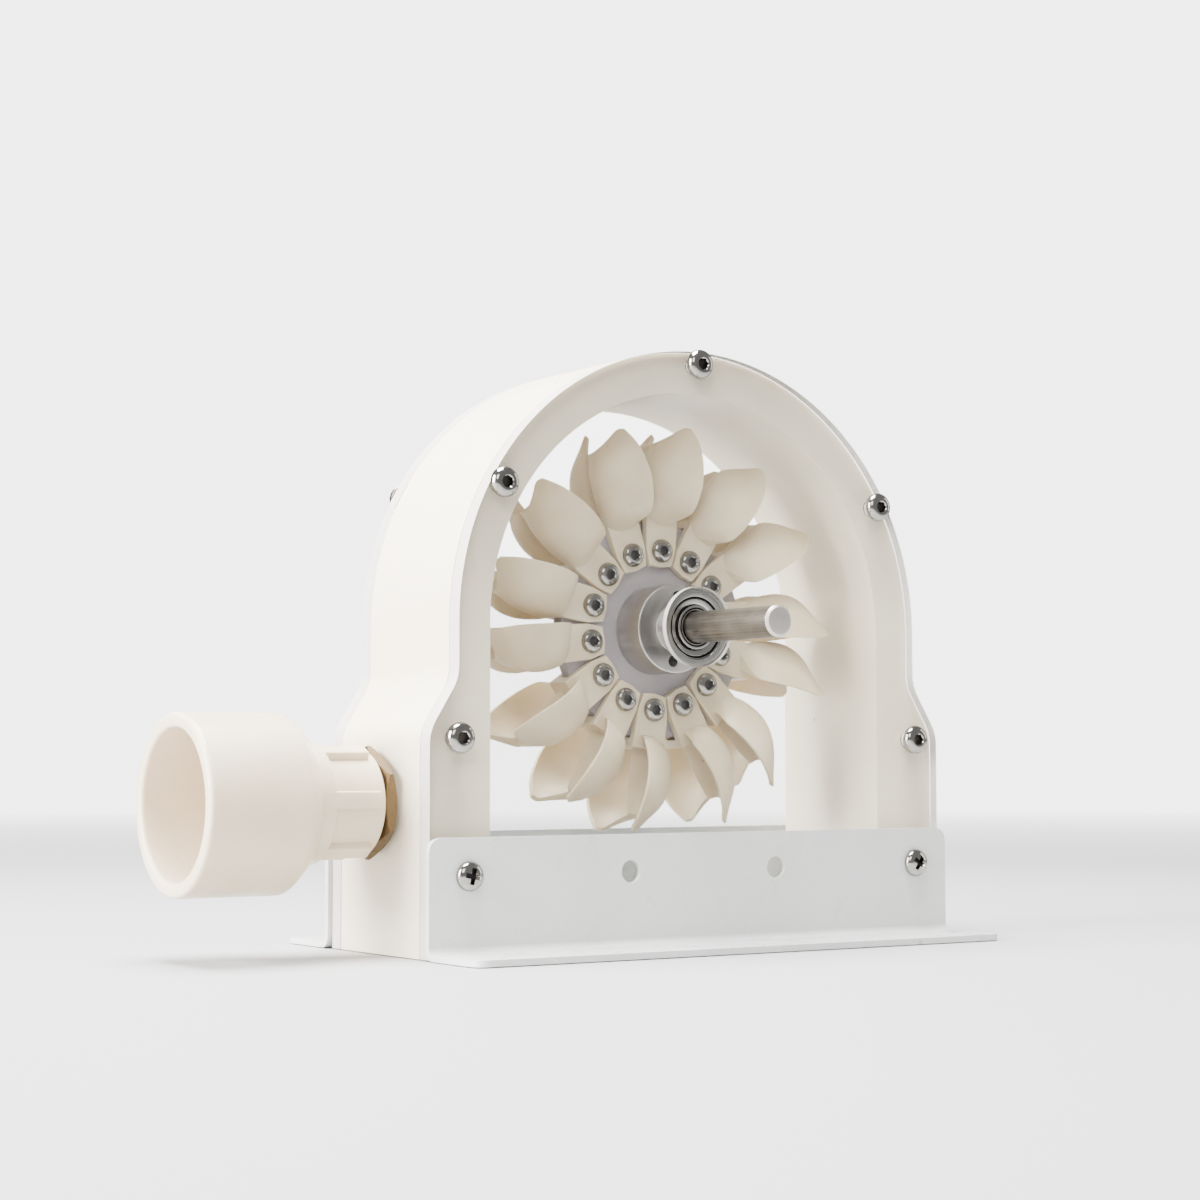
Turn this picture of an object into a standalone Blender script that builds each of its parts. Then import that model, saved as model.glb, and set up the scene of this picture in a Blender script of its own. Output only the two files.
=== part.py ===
"""Small impulse water turbine: an arched casing with clear covers, a hose socket and a 14-bucket wheel.

The machine stands on two L brackets. Its wheel turns on a horizontal shaft that runs front to back.
Local frame: X across the casing, -Y the front, +Z up, with the casing's foot centred on the origin.
The whole unit is then moved by UNIT_SHIFT so that the world origin lies under the middle of its box.
"""
import math

import bmesh
import bpy
from mathutils import Matrix, Vector

MM = 0.001
GAP = 0.3 * MM              # clearance between pieces that touch
PAST = 1 * MM               # how far a cutter runs past the surface it cuts
THROUGH = 12 * MM           # length of a drill that goes right through a thin piece

# Casing
AXIS_Z = 101 * MM           # height of the shaft
ARCH_R = 88 * MM            # outer radius of the arch, centred on the shaft
BASE_HALF = 98 * MM         # half width of the foot
SHOULDER_LOW = 67.5 * MM    # the flare runs from here
SHOULDER_HIGH = 83.5 * MM   # up to here
CAVITY_R = 75 * MM          # inner radius and inner half width
BODY_HALF_DEPTH = 25 * MM
COVER_T = 6 * MM
COVER_FACE = BODY_HALF_DEPTH + COVER_T        # outer face of a cover, from the middle
BRACKET_FACE = COVER_FACE + GAP             # where a bracket's leg stands
ARCH_STEPS = 32

# Brackets
BRACKET_HALF = 99.5 * MM
BRACKET_H = 36 * MM
BRACKET_T = 2 * MM
BRACKET_REACH = 30 * MM     # how far the foot flange stands out from the cover
BRACKET_BEND_R = 2 * MM
BEND_STEPS = 5
BRACKET_CORNER_R = 5 * MM
BRACKET_HOLE_X = 28 * MM
BRACKET_HOLE_R = 3.5 * MM
LEG_TRIM = -0.01 * MM       # the two trimming blocks end in different planes
FOOT_TRIM = 0.1 * MM

# Cover screws, button heads
COVER_SCREW_CIRCLE_R = 84 * MM
COVER_SCREW_ANGLES = (90, 30, 150)
LOW_SCREW_X = 88 * MM
LOW_SCREW_Z = 65.5 * MM
SCREW_HEAD_R = 4.75 * MM
SCREW_HEAD_H = 2.75 * MM
SCREW_SHANK_R = 2.4 * MM
SCREW_HOLE_R = SCREW_SHANK_R + GAP
SCREW_REACH = 12 * MM       # how far a cover screw goes into the body
HEX_SOCKET_R = 1.75 * MM
HEX_SOCKET_DEPTH = 1.6 * MM
HEAD_OUTLINE = ((0, 1), (0.45, 1), (0.83, 0.75), (1, 0.3), (1, 0))     # shares of a head's radius and height

# Bracket screws, pan heads with a cross recess
BRACKET_SCREW_X = 86 * MM
BRACKET_SCREW_Z = 24.5 * MM
PAN_HEAD_R = 4.5 * MM
PAN_HEAD_H = 2.6 * MM
CROSS_LENGTH = 5 * MM
CROSS_WIDTH = 1.3 * MM
CROSS_DEPTH = 1.5 * MM

# Inlet, turned about a level axis that runs along X
INLET_Z = 46 * MM
SOCKET_MOUTH_X = -166.5 * MM
SOCKET_LIP = 1.5 * MM
SOCKET_SHOULDER = ((-135 * MM, 27.2 * MM), (-131.5 * MM, 26.2 * MM), (-128.8 * MM, 23.2 * MM))   # (x, radius)
COLLAR_X = -127.5 * MM
PANEL_START_X = -121.8 * MM # the recesses between the ribs begin here
RIB_END_X = -106.8 * MM
SOCKET_END_X = -104.4 * MM
SOCKET_R = 27.2 * MM
SOCKET_BORE_R = 22.7 * MM
SOCKET_STOP_X = -134 * MM   # the hose or pipe goes in as far as this
SOCKET_FLOOR_X = -130 * MM
SOCKET_FLOOR_R = 20.7 * MM
COLLAR_R = 18.3 * MM
RIB_CORE_R = 16.6 * MM
RIB_ROOT_R = 12.5 * MM
RIB_WIDTH = 5.2 * MM
RIB_COUNT = 6
THREAD_R = 10.4 * MM
HEX_ACROSS_FLATS = 30 * MM
HEX_CHAMFER = 1.2 * MM
HEX_ROOT_R = 9.5 * MM
NOZZLE_TAIL_X = -128 * MM
NOZZLE_TAPER_X = -74 * MM   # the nozzle tapers from here to its tip
NOZZLE_END_X = -67 * MM
NOZZLE_TIP_R = 7 * MM
NOZZLE_BORE_R = 8 * MM
THROAT_R = 5 * MM
THROAT_X = -82 * MM
BORE_END_X = -92 * MM       # the wide bore ends here and narrows to the throat
JET_R = 4 * MM

# Shaft and bearings
SHAFT_R = 5 * MM
SHAFT_TIP_Y = -73 * MM
SHAFT_TAIL_Y = 30 * MM
SHAFT_CHAMFER = 0.8 * MM
BEARING_R = 11 * MM
FLANGE_R = 12.5 * MM
FLANGE_T = 1.5 * MM
BEARING_T = 6 * MM
BEARING_FACE_Y = -29.5 * MM
RACE_R = 7.1 * MM           # outside of the inner ring
SHIELD_DEPTH = 0.5 * MM
SHIELD_R = 9.6 * MM

# Wheel
HUB_R = 14.3 * MM
HUB_FACE_Y = 15.3 * MM
HUB_FOOT_Y = 2.55 * MM
HUB_NECK_R = 7.3 * MM
HUB_HOLE_R = 1.7 * MM
HUB_HOLE_CIRCLE_R = 10.5 * MM
HUB_HOLE_ANGLES = (85, -95)     # degrees
WEB_R = 35.5 * MM
WEB_HALF = 2.25 * MM
BUCKET_COUNT = 14
BUCKET_PHASE = 9.27         # degrees, the first bucket above the +X direction
BUCKET_SCREW_CIRCLE_R = 26 * MM
BUCKET_HOLE_R = 2.3 * MM

# Bucket: u runs outwards from the shaft, v towards the side that leads when the wheel runs.
# Each list goes along a cup from its root to its tip, in equal steps.
TAB_INNER_U = 21.1 * MM
TAB_OUTER_U = 39 * MM
TAB_INNER_HALF_V = 4.1 * MM
TAB_HALF_V = 5.8 * MM
TAB_OUTER_HALF_V = 4.6 * MM
TAB_HALF_Y = 5.1 * MM
SLOT_END_U = WEB_R + 1 * MM
CUP_RIM_U = (34.4 * MM, 39.4 * MM, 49 * MM, 59 * MM, 65.4 * MM)
CUP_RIM_Y = (7 * MM, 13.4 * MM, 16.9 * MM, 15 * MM, 10.2 * MM)
CUP_RIM_V = (-5.4 * MM, -6.5 * MM, -7 * MM, -7.2 * MM, -6.3 * MM)
CUP_RIDGE_U = (34.4 * MM, 39 * MM, 46.5 * MM, 54 * MM, 60 * MM)
CUP_RIDGE_V = (-3 * MM, -3 * MM, -3 * MM, -2.6 * MM, -2 * MM)
CUP_DEPTH = (1 * MM, 8 * MM, 10.8 * MM, 9.4 * MM, 4 * MM)
CUP_WALL = 1.2 * MM         # at the rim and the lip
CUP_BACK_RIDGE_V = (3 * MM, 2.5 * MM, 2.5 * MM, 2.5 * MM, 2 * MM)
CUP_BACK_DEPTH = (5 * MM, 8.4 * MM, 9.8 * MM, 8.4 * MM, 4.2 * MM)
CUP_LIP_CURVE = 2.2         # how late the lip climbs from the notch to the tip
CUP_ROUNDNESS = 0.75
CUP_STEPS_LONG = 7
CUP_STEPS_ACROSS = 8
# The buckets are clamped by one screw each and sit a little unevenly. Degrees, from the first bucket on.
BUCKET_TILTS = (-6.5, -0.5, -2, 1.5, -3, 6, 6, -3.5, 0.5, -1, -5, 5, -4.5, 6.5)

ROUND_STEPS = 28
HOLE_STEPS = 8
SCREW_STEPS = 12
DISC_STEPS = 42
NOZZLE_STEPS = 32
UNIT_SHIFT = (-(SOCKET_MOUTH_X + BRACKET_HALF) / 2, -(SHAFT_TIP_Y + BRACKET_FACE + BRACKET_REACH) / 2, 0)


def clear_scene():
    for obj in list(bpy.data.objects):
        bpy.data.objects.remove(obj, do_unlink=True)


def make_collection(name):
    collection = bpy.data.collections.new(name)
    bpy.context.scene.collection.children.link(collection)
    return collection


def make_material(name, color, roughness, metallic=0.0, alpha=1.0):
    material = bpy.data.materials.new(name)
    material.use_nodes = True
    shader = material.node_tree.nodes["Principled BSDF"]
    shader.inputs["Base Color"].default_value = (*color, 1.0)
    shader.inputs["Roughness"].default_value = roughness
    shader.inputs["Metallic"].default_value = metallic
    shader.inputs["Alpha"].default_value = alpha
    return material


class Shop:
    """The collections, materials and parents that every piece is made with."""

    def __init__(self):
        self.parts = make_collection("water_turbine")
        self.cutters = make_collection("cutters")
        self.unit = self.add_empty("unit", None, UNIT_SHIFT)
        self.runner = self.add_empty("runner_axis", self.unit, (0, 0, AXIS_Z))
        self.finish = {
            "casing": make_material("casing_white", (0.86, 0.86, 0.84), 0.45),
            "clear": make_material("clear_cover", (0.90, 0.92, 0.92), 0.05, alpha=0.25),
            "bracket": make_material("bracket_enamel", (0.80, 0.81, 0.80), 0.40),
            "socket": make_material("socket_ivory", (0.85, 0.82, 0.76), 0.35),
            "brass": make_material("brass", (0.55, 0.42, 0.22), 0.35, 1.0),
            "steel": make_material("bright_steel", (0.72, 0.71, 0.69), 0.20, 1.0),
            "shaft": make_material("brushed_steel", (0.60, 0.58, 0.55), 0.35, 1.0),
            "hub": make_material("turned_aluminium", (0.66, 0.65, 0.65), 0.35, 1.0),
            "disc": make_material("disc_grey", (0.70, 0.67, 0.68), 0.45),
            "bucket": make_material("bucket_ivory", (0.78, 0.73, 0.66), 0.45),
        }

    def add_empty(self, name, parent, location):
        empty = bpy.data.objects.new(name, None)
        self.cutters.objects.link(empty)
        empty.parent = parent
        empty.location = location
        return empty

    def add_part(self, name, mesh, finish, parent=None, location=(0, 0, 0), rotation=(0, 0, 0)):
        obj = bpy.data.objects.new(name, mesh)
        self.parts.objects.link(obj)
        obj.parent = parent or self.unit
        obj.location = location
        obj.rotation_euler = rotation
        mesh.materials.clear()
        mesh.materials.append(self.finish[finish])
        mesh.shade_smooth()
        mesh.set_sharp_from_angle(angle=math.radians(35))
        return obj

    def add_cutter(self, name, mesh, parent=None, location=(0, 0, 0)):
        obj = bpy.data.objects.new(name, mesh)
        self.cutters.objects.link(obj)
        obj.parent = parent or self.unit
        obj.location = location
        obj.hide_render = True
        obj.display_type = "WIRE"
        return obj


def add_boolean(obj, cutter, operation="DIFFERENCE"):
    modifier = obj.modifiers.new(cutter.name, "BOOLEAN")
    modifier.object = cutter
    modifier.operation = operation
    return modifier


def circle_points(x, y, radius, steps):
    return [(x + radius * math.cos(2 * math.pi * i / steps), y + radius * math.sin(2 * math.pi * i / steps))
            for i in range(steps)]


def arc_points(x, y, radius, start, end, steps):
    angles = [math.radians(start + (end - start) * i / steps) for i in range(steps + 1)]
    return [(x + radius * math.cos(a), y + radius * math.sin(a)) for a in angles]


def flat_mesh(name, loops, thickness):
    """A flat piece: the first loop is its outline and the others are holes, filled in the XY plane."""
    curve = bpy.data.curves.new(name, "CURVE")
    curve.dimensions = "2D"
    curve.fill_mode = "BOTH"
    curve.extrude = thickness / 2
    for loop in loops:
        spline = curve.splines.new("POLY")
        spline.points.add(len(loop) - 1)
        for point, (x, y) in zip(spline.points, loop):
            point.co = (x, y, 0, 1)
        spline.use_cyclic_u = True
    holder = bpy.data.objects.new(name, curve)
    bpy.context.scene.collection.objects.link(holder)
    bpy.context.view_layer.update()
    evaluated = holder.evaluated_get(bpy.context.evaluated_depsgraph_get())
    mesh = bpy.data.meshes.new_from_object(evaluated)
    bpy.data.objects.remove(holder, do_unlink=True)
    bpy.data.curves.remove(curve)
    bm = bmesh.new()
    bm.from_mesh(mesh)
    bmesh.ops.remove_doubles(bm, verts=bm.verts, dist=0.01 * MM)
    bmesh.ops.recalc_face_normals(bm, faces=bm.faces)
    bm.to_mesh(mesh)
    bm.free()
    mesh.name = name
    return mesh


def front_facing(mesh, y):
    """Turns a flat mesh made in XY so that it stands in XZ, with its middle at y."""
    mesh.transform(Matrix.Translation((0, y, 0)) @ Matrix.Rotation(math.radians(90), 4, "X"))
    return mesh


def turned_mesh(name, profile, steps=ROUND_STEPS, along="Y"):
    """Turns a closed profile of (distance along the axis, radius) points into a round piece."""
    bm = bmesh.new()
    ring = [bm.verts.new((radius, 0, z)) for z, radius in profile]
    edges = [bm.edges.new((a, b)) for a, b in zip(ring, ring[1:] + ring[:1])]
    bmesh.ops.spin(bm, geom=ring + edges, cent=(0, 0, 0), axis=(0, 0, 1), angle=2 * math.pi,
                   steps=steps, use_merge=True)
    bmesh.ops.remove_doubles(bm, verts=bm.verts, dist=0.01 * MM)
    bmesh.ops.dissolve_degenerate(bm, edges=bm.edges, dist=0.01 * MM)
    bmesh.ops.recalc_face_normals(bm, faces=bm.faces)
    quarter = math.radians(90)
    turn = Matrix.Rotation(-quarter, 4, "X") if along == "Y" else Matrix.Rotation(quarter, 4, "Y")
    bmesh.ops.transform(bm, matrix=turn, verts=bm.verts)
    mesh = bpy.data.meshes.new(name)
    bm.to_mesh(mesh)
    bm.free()
    return mesh


def round_bar_mesh(name, radius, length, steps=16):
    """A cylinder along Y, centred on the origin."""
    bm = bmesh.new()
    bmesh.ops.create_cone(bm, cap_ends=True, segments=steps, radius1=radius, radius2=radius, depth=length)
    bmesh.ops.rotate(bm, verts=bm.verts, cent=(0, 0, 0), matrix=Matrix.Rotation(math.radians(90), 3, "X"))
    mesh = bpy.data.meshes.new(name)
    bm.to_mesh(mesh)
    bm.free()
    return mesh


def box_mesh(name, low, high):
    bm = bmesh.new()
    bmesh.ops.create_cube(bm, size=1.0)
    size = Vector(high) - Vector(low)
    bmesh.ops.scale(bm, vec=size, verts=bm.verts)
    bmesh.ops.translate(bm, vec=(Vector(high) + Vector(low)) / 2, verts=bm.verts)
    mesh = bpy.data.meshes.new(name)
    bm.to_mesh(mesh)
    bm.free()
    return mesh


def casing_outline():
    right = [(BASE_HALF, 0), (BASE_HALF, SHOULDER_LOW), (ARCH_R, SHOULDER_HIGH)]
    arch = arc_points(0, AXIS_Z, ARCH_R, 0, 180, ARCH_STEPS)
    left = [(-ARCH_R, SHOULDER_HIGH), (-BASE_HALF, SHOULDER_LOW), (-BASE_HALF, 0)]
    return right + arch + left


def cavity_outline():
    """The casing's outline with the open-bottomed cavity taken out of it."""
    inner = [(-CAVITY_R, 0)] + arc_points(0, AXIS_Z, CAVITY_R, 180, 0, ARCH_STEPS) + [(CAVITY_R, 0)]
    return casing_outline() + inner


def cover_screw_places():
    places = [(COVER_SCREW_CIRCLE_R * math.cos(math.radians(a)),
               AXIS_Z + COVER_SCREW_CIRCLE_R * math.sin(math.radians(a))) for a in COVER_SCREW_ANGLES]
    return places + [(LOW_SCREW_X, LOW_SCREW_Z), (-LOW_SCREW_X, LOW_SCREW_Z)]


def bracket_screw_places():
    return [(BRACKET_SCREW_X, BRACKET_SCREW_Z), (-BRACKET_SCREW_X, BRACKET_SCREW_Z)]


def screw_hole_loops():
    return [circle_points(x, z, SCREW_HOLE_R / math.cos(math.pi / HOLE_STEPS), HOLE_STEPS)
            for x, z in cover_screw_places() + bracket_screw_places()]


def add_casing(shop):
    mesh = flat_mesh("casing_body", [cavity_outline()] + screw_hole_loops(), 2 * BODY_HALF_DEPTH)
    body = shop.add_part("casing_body", front_facing(mesh, 0), "casing")
    outside = -BASE_HALF - PAST
    inside = -CAVITY_R + PAST
    hole = THREAD_R + GAP
    port = turned_mesh("inlet_port", [(outside, 0), (outside, hole), (inside, hole), (inside, 0)],
                       NOZZLE_STEPS, along="X")
    add_boolean(body, shop.add_cutter("inlet_port", port, location=(0, 0, INLET_Z)))


def add_cover(shop, name, side):
    """A clear cover. side is -1 for the front and 1 for the back."""
    bore = circle_points(0, AXIS_Z, BEARING_R + GAP, ROUND_STEPS)
    mesh = flat_mesh(name, [casing_outline(), bore] + screw_hole_loops(), COVER_T - GAP)
    middle = side * (BODY_HALF_DEPTH + COVER_T / 2 + GAP / 2)
    cover = shop.add_part(name, front_facing(mesh, middle), "clear")
    outside = side * (COVER_FACE + PAST)
    floor = side * (abs(BEARING_FACE_Y) - FLANGE_T - GAP)
    seat_r = FLANGE_R + 2 * GAP
    seat = turned_mesh(name + "_seat", [(outside, 0), (outside, seat_r), (floor, seat_r), (floor, 0)])
    add_boolean(cover, shop.add_cutter(name + "_seat", seat, location=(0, 0, AXIS_Z)))


def bracket_profile():
    """The bent strip in (outwards, up), from the cover's face."""
    outer_r = BRACKET_BEND_R + BRACKET_T
    bend_out = arc_points(outer_r, outer_r, outer_r, 180, 270, BEND_STEPS)
    bend_in = arc_points(outer_r, outer_r, BRACKET_BEND_R, 270, 180, BEND_STEPS)
    flange_end = [(BRACKET_REACH, 0), (BRACKET_REACH, BRACKET_T)]
    leg_end = [(BRACKET_T, BRACKET_H), (0, BRACKET_H)]
    return bend_out + flange_end + bend_in + leg_end


def rounded_rectangle(x_half, low, high, corner_r, steps=4):
    """A rectangle whose two corners at high are rounded."""
    right = arc_points(x_half - corner_r, high - corner_r, corner_r, 0, 90, steps)
    left = arc_points(-x_half + corner_r, high - corner_r, corner_r, 90, 180, steps)
    return [(-x_half, low), (x_half, low)] + right + left


def add_bracket(shop, name, side):
    """An L bracket: a bent strip, trimmed by two blocks that round its corners. side is -1 for the front."""
    face_y = side * BRACKET_FACE
    far_y = BRACKET_FACE + BRACKET_REACH
    strip = flat_mesh(name, [bracket_profile()], 2 * BRACKET_HALF)
    strip.transform(Matrix(((0, 0, side, 0), (side, 0, 0, face_y), (0, 1, 0, 0), (0, 0, 0, 1))))
    bracket = shop.add_part(name, strip, "bracket")
    tall = rounded_rectangle(BRACKET_HALF + LEG_TRIM, -PAST, BRACKET_H, BRACKET_CORNER_R)
    leg = flat_mesh(name + "_leg", [tall], 2 * BRACKET_REACH + 2 * PAST)
    leg_cutter = shop.add_cutter(name + "_leg", front_facing(leg, side * (BRACKET_FACE + BRACKET_REACH / 2)))
    add_boolean(bracket, leg_cutter, "INTERSECT")
    deep = rounded_rectangle(BRACKET_HALF + FOOT_TRIM, BRACKET_FACE - PAST, far_y, BRACKET_CORNER_R)
    foot = flat_mesh(name + "_foot", [[(x, side * y) for x, y in deep]], 2 * (BRACKET_H + PAST))
    add_boolean(bracket, shop.add_cutter(name + "_foot", foot), "INTERSECT")
    holes = [(x, z, SCREW_HOLE_R) for x, z in bracket_screw_places()]
    holes += [(x, BRACKET_SCREW_Z, BRACKET_HOLE_R) for x in (-BRACKET_HOLE_X, BRACKET_HOLE_X)]
    for index, (x, z, radius) in enumerate(holes):
        drill = round_bar_mesh("drill", radius, THROUGH)
        add_boolean(bracket, shop.add_cutter(f"{name}_drill_{index}", drill, location=(x, face_y, z)))


def screw_profile(head_r, head_h, reach):
    """A screw along Y with its head's seat at 0 and the head towards -Y."""
    head = [(-head_h * height, head_r * radius) for radius, height in HEAD_OUTLINE]
    return head + [(0, SCREW_SHANK_R), (reach, SCREW_SHANK_R), (reach, 0)]


def add_screws(shop, side, label):
    flip = (0, 0, 0) if side < 0 else (0, 0, math.pi)
    reach = COVER_T + SCREW_REACH
    cover_seat = side * BRACKET_FACE
    button = turned_mesh("cover_screw", screw_profile(SCREW_HEAD_R, SCREW_HEAD_H, reach), SCREW_STEPS)
    socket_top = -SCREW_HEAD_H - PAST
    socket_floor = -SCREW_HEAD_H + HEX_SOCKET_DEPTH
    socket = turned_mesh("hex_socket", [(socket_top, 0), (socket_top, HEX_SOCKET_R),
                                        (socket_floor, HEX_SOCKET_R), (socket_floor, 0)], 6)
    for index, (x, z) in enumerate(cover_screw_places(), 1):
        name = f"{label}_cover_screw_{index}"
        screw = shop.add_part(name, button.copy(), "steel", location=(x, cover_seat, z), rotation=flip)
        add_boolean(screw, shop.add_cutter(name + "_socket", socket, parent=screw))
    bracket_seat = side * (BRACKET_FACE + BRACKET_T + GAP)
    pan = turned_mesh("bracket_screw", screw_profile(PAN_HEAD_R, PAN_HEAD_H, reach), SCREW_STEPS)
    long = CROSS_LENGTH / 2
    thin = CROSS_WIDTH / 2
    top = -PAN_HEAD_H - PAST
    floor = -PAN_HEAD_H + CROSS_DEPTH
    for index, (x, z) in enumerate(bracket_screw_places(), 1):
        name = f"{label}_bracket_screw_{index}"
        screw = shop.add_part(name, pan.copy(), "steel", location=(x, bracket_seat, z), rotation=flip)
        across = box_mesh("slot", (-long, top, -thin), (long, floor, thin))
        upright = box_mesh("slot", (-thin, top, -long), (thin, floor, long))
        add_boolean(screw, shop.add_cutter(name + "_slot_1", across, parent=screw))
        add_boolean(screw, shop.add_cutter(name + "_slot_2", upright, parent=screw))


def socket_profile():
    """The hose socket from its mouth to the end of its ribs, as (x, radius)."""
    mouth = [(SOCKET_MOUTH_X, SOCKET_BORE_R + SOCKET_LIP), (SOCKET_MOUTH_X, SOCKET_R - SOCKET_LIP),
             (SOCKET_MOUTH_X + SOCKET_LIP, SOCKET_R)]
    collar = [(COLLAR_X, COLLAR_R), (PANEL_START_X, COLLAR_R)]
    core = [(PANEL_START_X, RIB_CORE_R), (SOCKET_END_X, RIB_CORE_R)]
    neck = THREAD_R + GAP
    inside = [(SOCKET_END_X, neck), (SOCKET_FLOOR_X, neck), (SOCKET_STOP_X, SOCKET_FLOOR_R),
              (SOCKET_STOP_X, SOCKET_BORE_R), (SOCKET_MOUTH_X + SOCKET_LIP, SOCKET_BORE_R)]
    return mouth + list(SOCKET_SHOULDER) + collar + core + inside


def add_socket(shop):
    mesh = turned_mesh("inlet_socket", socket_profile(), ROUND_STEPS, along="X")
    socket = shop.add_part("inlet_socket", mesh, "socket", location=(0, 0, INLET_Z))
    half = RIB_WIDTH / 2
    rib = box_mesh("rib", (PANEL_START_X - PAST, -COLLAR_R, -half), (RIB_END_X, -RIB_ROOT_R, half))
    for index in range(RIB_COUNT):
        bar = shop.add_cutter(f"rib_{index}", rib, location=(0, 0, INLET_Z))
        bar.rotation_euler = (2 * math.pi * index / RIB_COUNT, 0, 0)
        add_boolean(socket, bar, "UNION")


def add_nozzle(shop):
    """A threaded tube with a hexagon outside the casing and a tapered tip inside it."""
    outside = [(NOZZLE_TAIL_X, THREAD_R), (NOZZLE_TAPER_X, THREAD_R), (NOZZLE_END_X, NOZZLE_TIP_R)]
    bore = [(NOZZLE_END_X, JET_R), (THROAT_X, THROAT_R), (BORE_END_X, NOZZLE_BORE_R),
            (NOZZLE_TAIL_X, NOZZLE_BORE_R)]
    mesh = turned_mesh("inlet_nozzle", outside + bore, NOZZLE_STEPS, along="X")
    nozzle = shop.add_part("inlet_nozzle", mesh, "brass", location=(0, 0, INLET_Z))
    corner_r = HEX_ACROSS_FLATS / math.sqrt(3)
    low = SOCKET_END_X + GAP
    high = -BASE_HALF - GAP
    hexagon = [(low, HEX_ROOT_R), (low, corner_r - HEX_CHAMFER), (low + HEX_CHAMFER, corner_r),
               (high - HEX_CHAMFER, corner_r), (high, corner_r - HEX_CHAMFER), (high, HEX_ROOT_R)]
    nut = turned_mesh("hex_nut", hexagon, 6, along="X")
    add_boolean(nozzle, shop.add_cutter("hex_nut", nut, location=(0, 0, INLET_Z)), "UNION")


def add_bearing(shop, label, side):
    face = BEARING_FACE_Y * -side
    inward = -side
    back = face + inward * BEARING_T
    step = face + inward * FLANGE_T
    shield = face + inward * SHIELD_DEPTH
    outer = [
        (face, SHIELD_R), (face, FLANGE_R), (step, FLANGE_R), (step, BEARING_R),
        (back, BEARING_R), (back, RACE_R + GAP), (shield, RACE_R + GAP), (shield, SHIELD_R),
    ]
    shop.add_part(f"{label}_bearing_outer", turned_mesh("outer", outer), "steel", location=(0, 0, AXIS_Z))
    inner = [(face, SHAFT_R + GAP), (face, RACE_R), (back, RACE_R), (back, SHAFT_R + GAP)]
    shop.add_part(f"{label}_bearing_inner", turned_mesh("inner", inner), "steel", parent=shop.runner)


def add_shaft(shop):
    profile = [
        (SHAFT_TIP_Y, 0), (SHAFT_TIP_Y, SHAFT_R - SHAFT_CHAMFER), (SHAFT_TIP_Y + SHAFT_CHAMFER, SHAFT_R),
        (SHAFT_TAIL_Y - SHAFT_CHAMFER, SHAFT_R), (SHAFT_TAIL_Y, SHAFT_R - SHAFT_CHAMFER), (SHAFT_TAIL_Y, 0),
    ]
    shop.add_part("shaft", turned_mesh("shaft", profile), "shaft", parent=shop.runner)


def add_hub(shop, label, side):
    neck_end = abs(BEARING_FACE_Y) - BEARING_T - GAP
    profile = [
        (side * HUB_FOOT_Y, SHAFT_R + GAP), (side * HUB_FOOT_Y, HUB_R), (side * HUB_FACE_Y, HUB_R),
        (side * HUB_FACE_Y, HUB_NECK_R), (side * neck_end, HUB_NECK_R), (side * neck_end, SHAFT_R + GAP),
    ]
    hub = shop.add_part(f"{label}_hub", turned_mesh("hub", profile), "hub", parent=shop.runner)
    for index, degrees in enumerate(HUB_HOLE_ANGLES):
        angle = math.radians(degrees)
        place = (HUB_HOLE_CIRCLE_R * math.cos(angle), side * HUB_FACE_Y, HUB_HOLE_CIRCLE_R * math.sin(angle))
        drill = round_bar_mesh("drill", HUB_HOLE_R, THROUGH, HOLE_STEPS)
        cutter = shop.add_cutter(f"{label}_hub_drill_{index}", drill, parent=shop.runner, location=place)
        add_boolean(hub, cutter)


def add_disc(shop):
    bore = circle_points(0, 0, SHAFT_R + GAP, ROUND_STEPS)
    holes = []
    for index in range(BUCKET_COUNT):
        angle = math.radians(BUCKET_PHASE + 360 * index / BUCKET_COUNT)
        x = BUCKET_SCREW_CIRCLE_R * math.cos(angle)
        y = BUCKET_SCREW_CIRCLE_R * math.sin(angle)
        holes.append(circle_points(x, y, BUCKET_HOLE_R, HOLE_STEPS))
    web = flat_mesh("runner_disc", [circle_points(0, 0, WEB_R, DISC_STEPS), bore] + holes, 2 * WEB_HALF)
    shop.add_part("runner_disc", front_facing(web, 0), "disc", parent=shop.runner)


def station_curve(stations, s):
    """A smooth curve through equally spaced stations, for s from 0 to 1."""
    span = s * (len(stations) - 1)
    index = min(int(span), len(stations) - 2)
    t = span - index
    before = stations[index - 1] if index > 0 else 2 * stations[0] - stations[1]
    after = stations[index + 2] if index + 2 < len(stations) else 2 * stations[-1] - stations[-2]
    start, end = stations[index], stations[index + 1]
    slope_in = (end - before) / 2
    slope_out = (after - start) / 2
    rise = t * t * (3 - 2 * t)
    return start + (end - start) * rise + slope_in * t * (1 - t) ** 2 - slope_out * t * t * (1 - t)


def cup_point(s, t, back):
    """A point of the twin cup, on its hollow side or its back: s from root to tip, t from -1 to 1 across."""
    side = abs(t)
    wall = CUP_WALL if back else 0
    rim_y = station_curve(CUP_RIM_Y, s) + wall
    rim_u = station_curve(CUP_RIM_U, s) + wall * s
    ridge_u = station_curve(CUP_RIDGE_U, s) + wall * s
    rim_v = station_curve(CUP_RIM_V, s)
    ridge_v = station_curve(CUP_BACK_RIDGE_V if back else CUP_RIDGE_V, s)
    depth = station_curve(CUP_BACK_DEPTH if back else CUP_DEPTH, s)
    lip = side ** (1 + (CUP_LIP_CURVE - 1) * s)
    hollow = math.sin(math.pi * side) ** CUP_ROUNDNESS if 0 < side < 1 else 0
    u = ridge_u + (rim_u - ridge_u) * lip
    v = ridge_v + (rim_v - ridge_v) * side + depth * hollow
    return Vector((u, math.copysign(rim_y * side, t), v))


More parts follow.
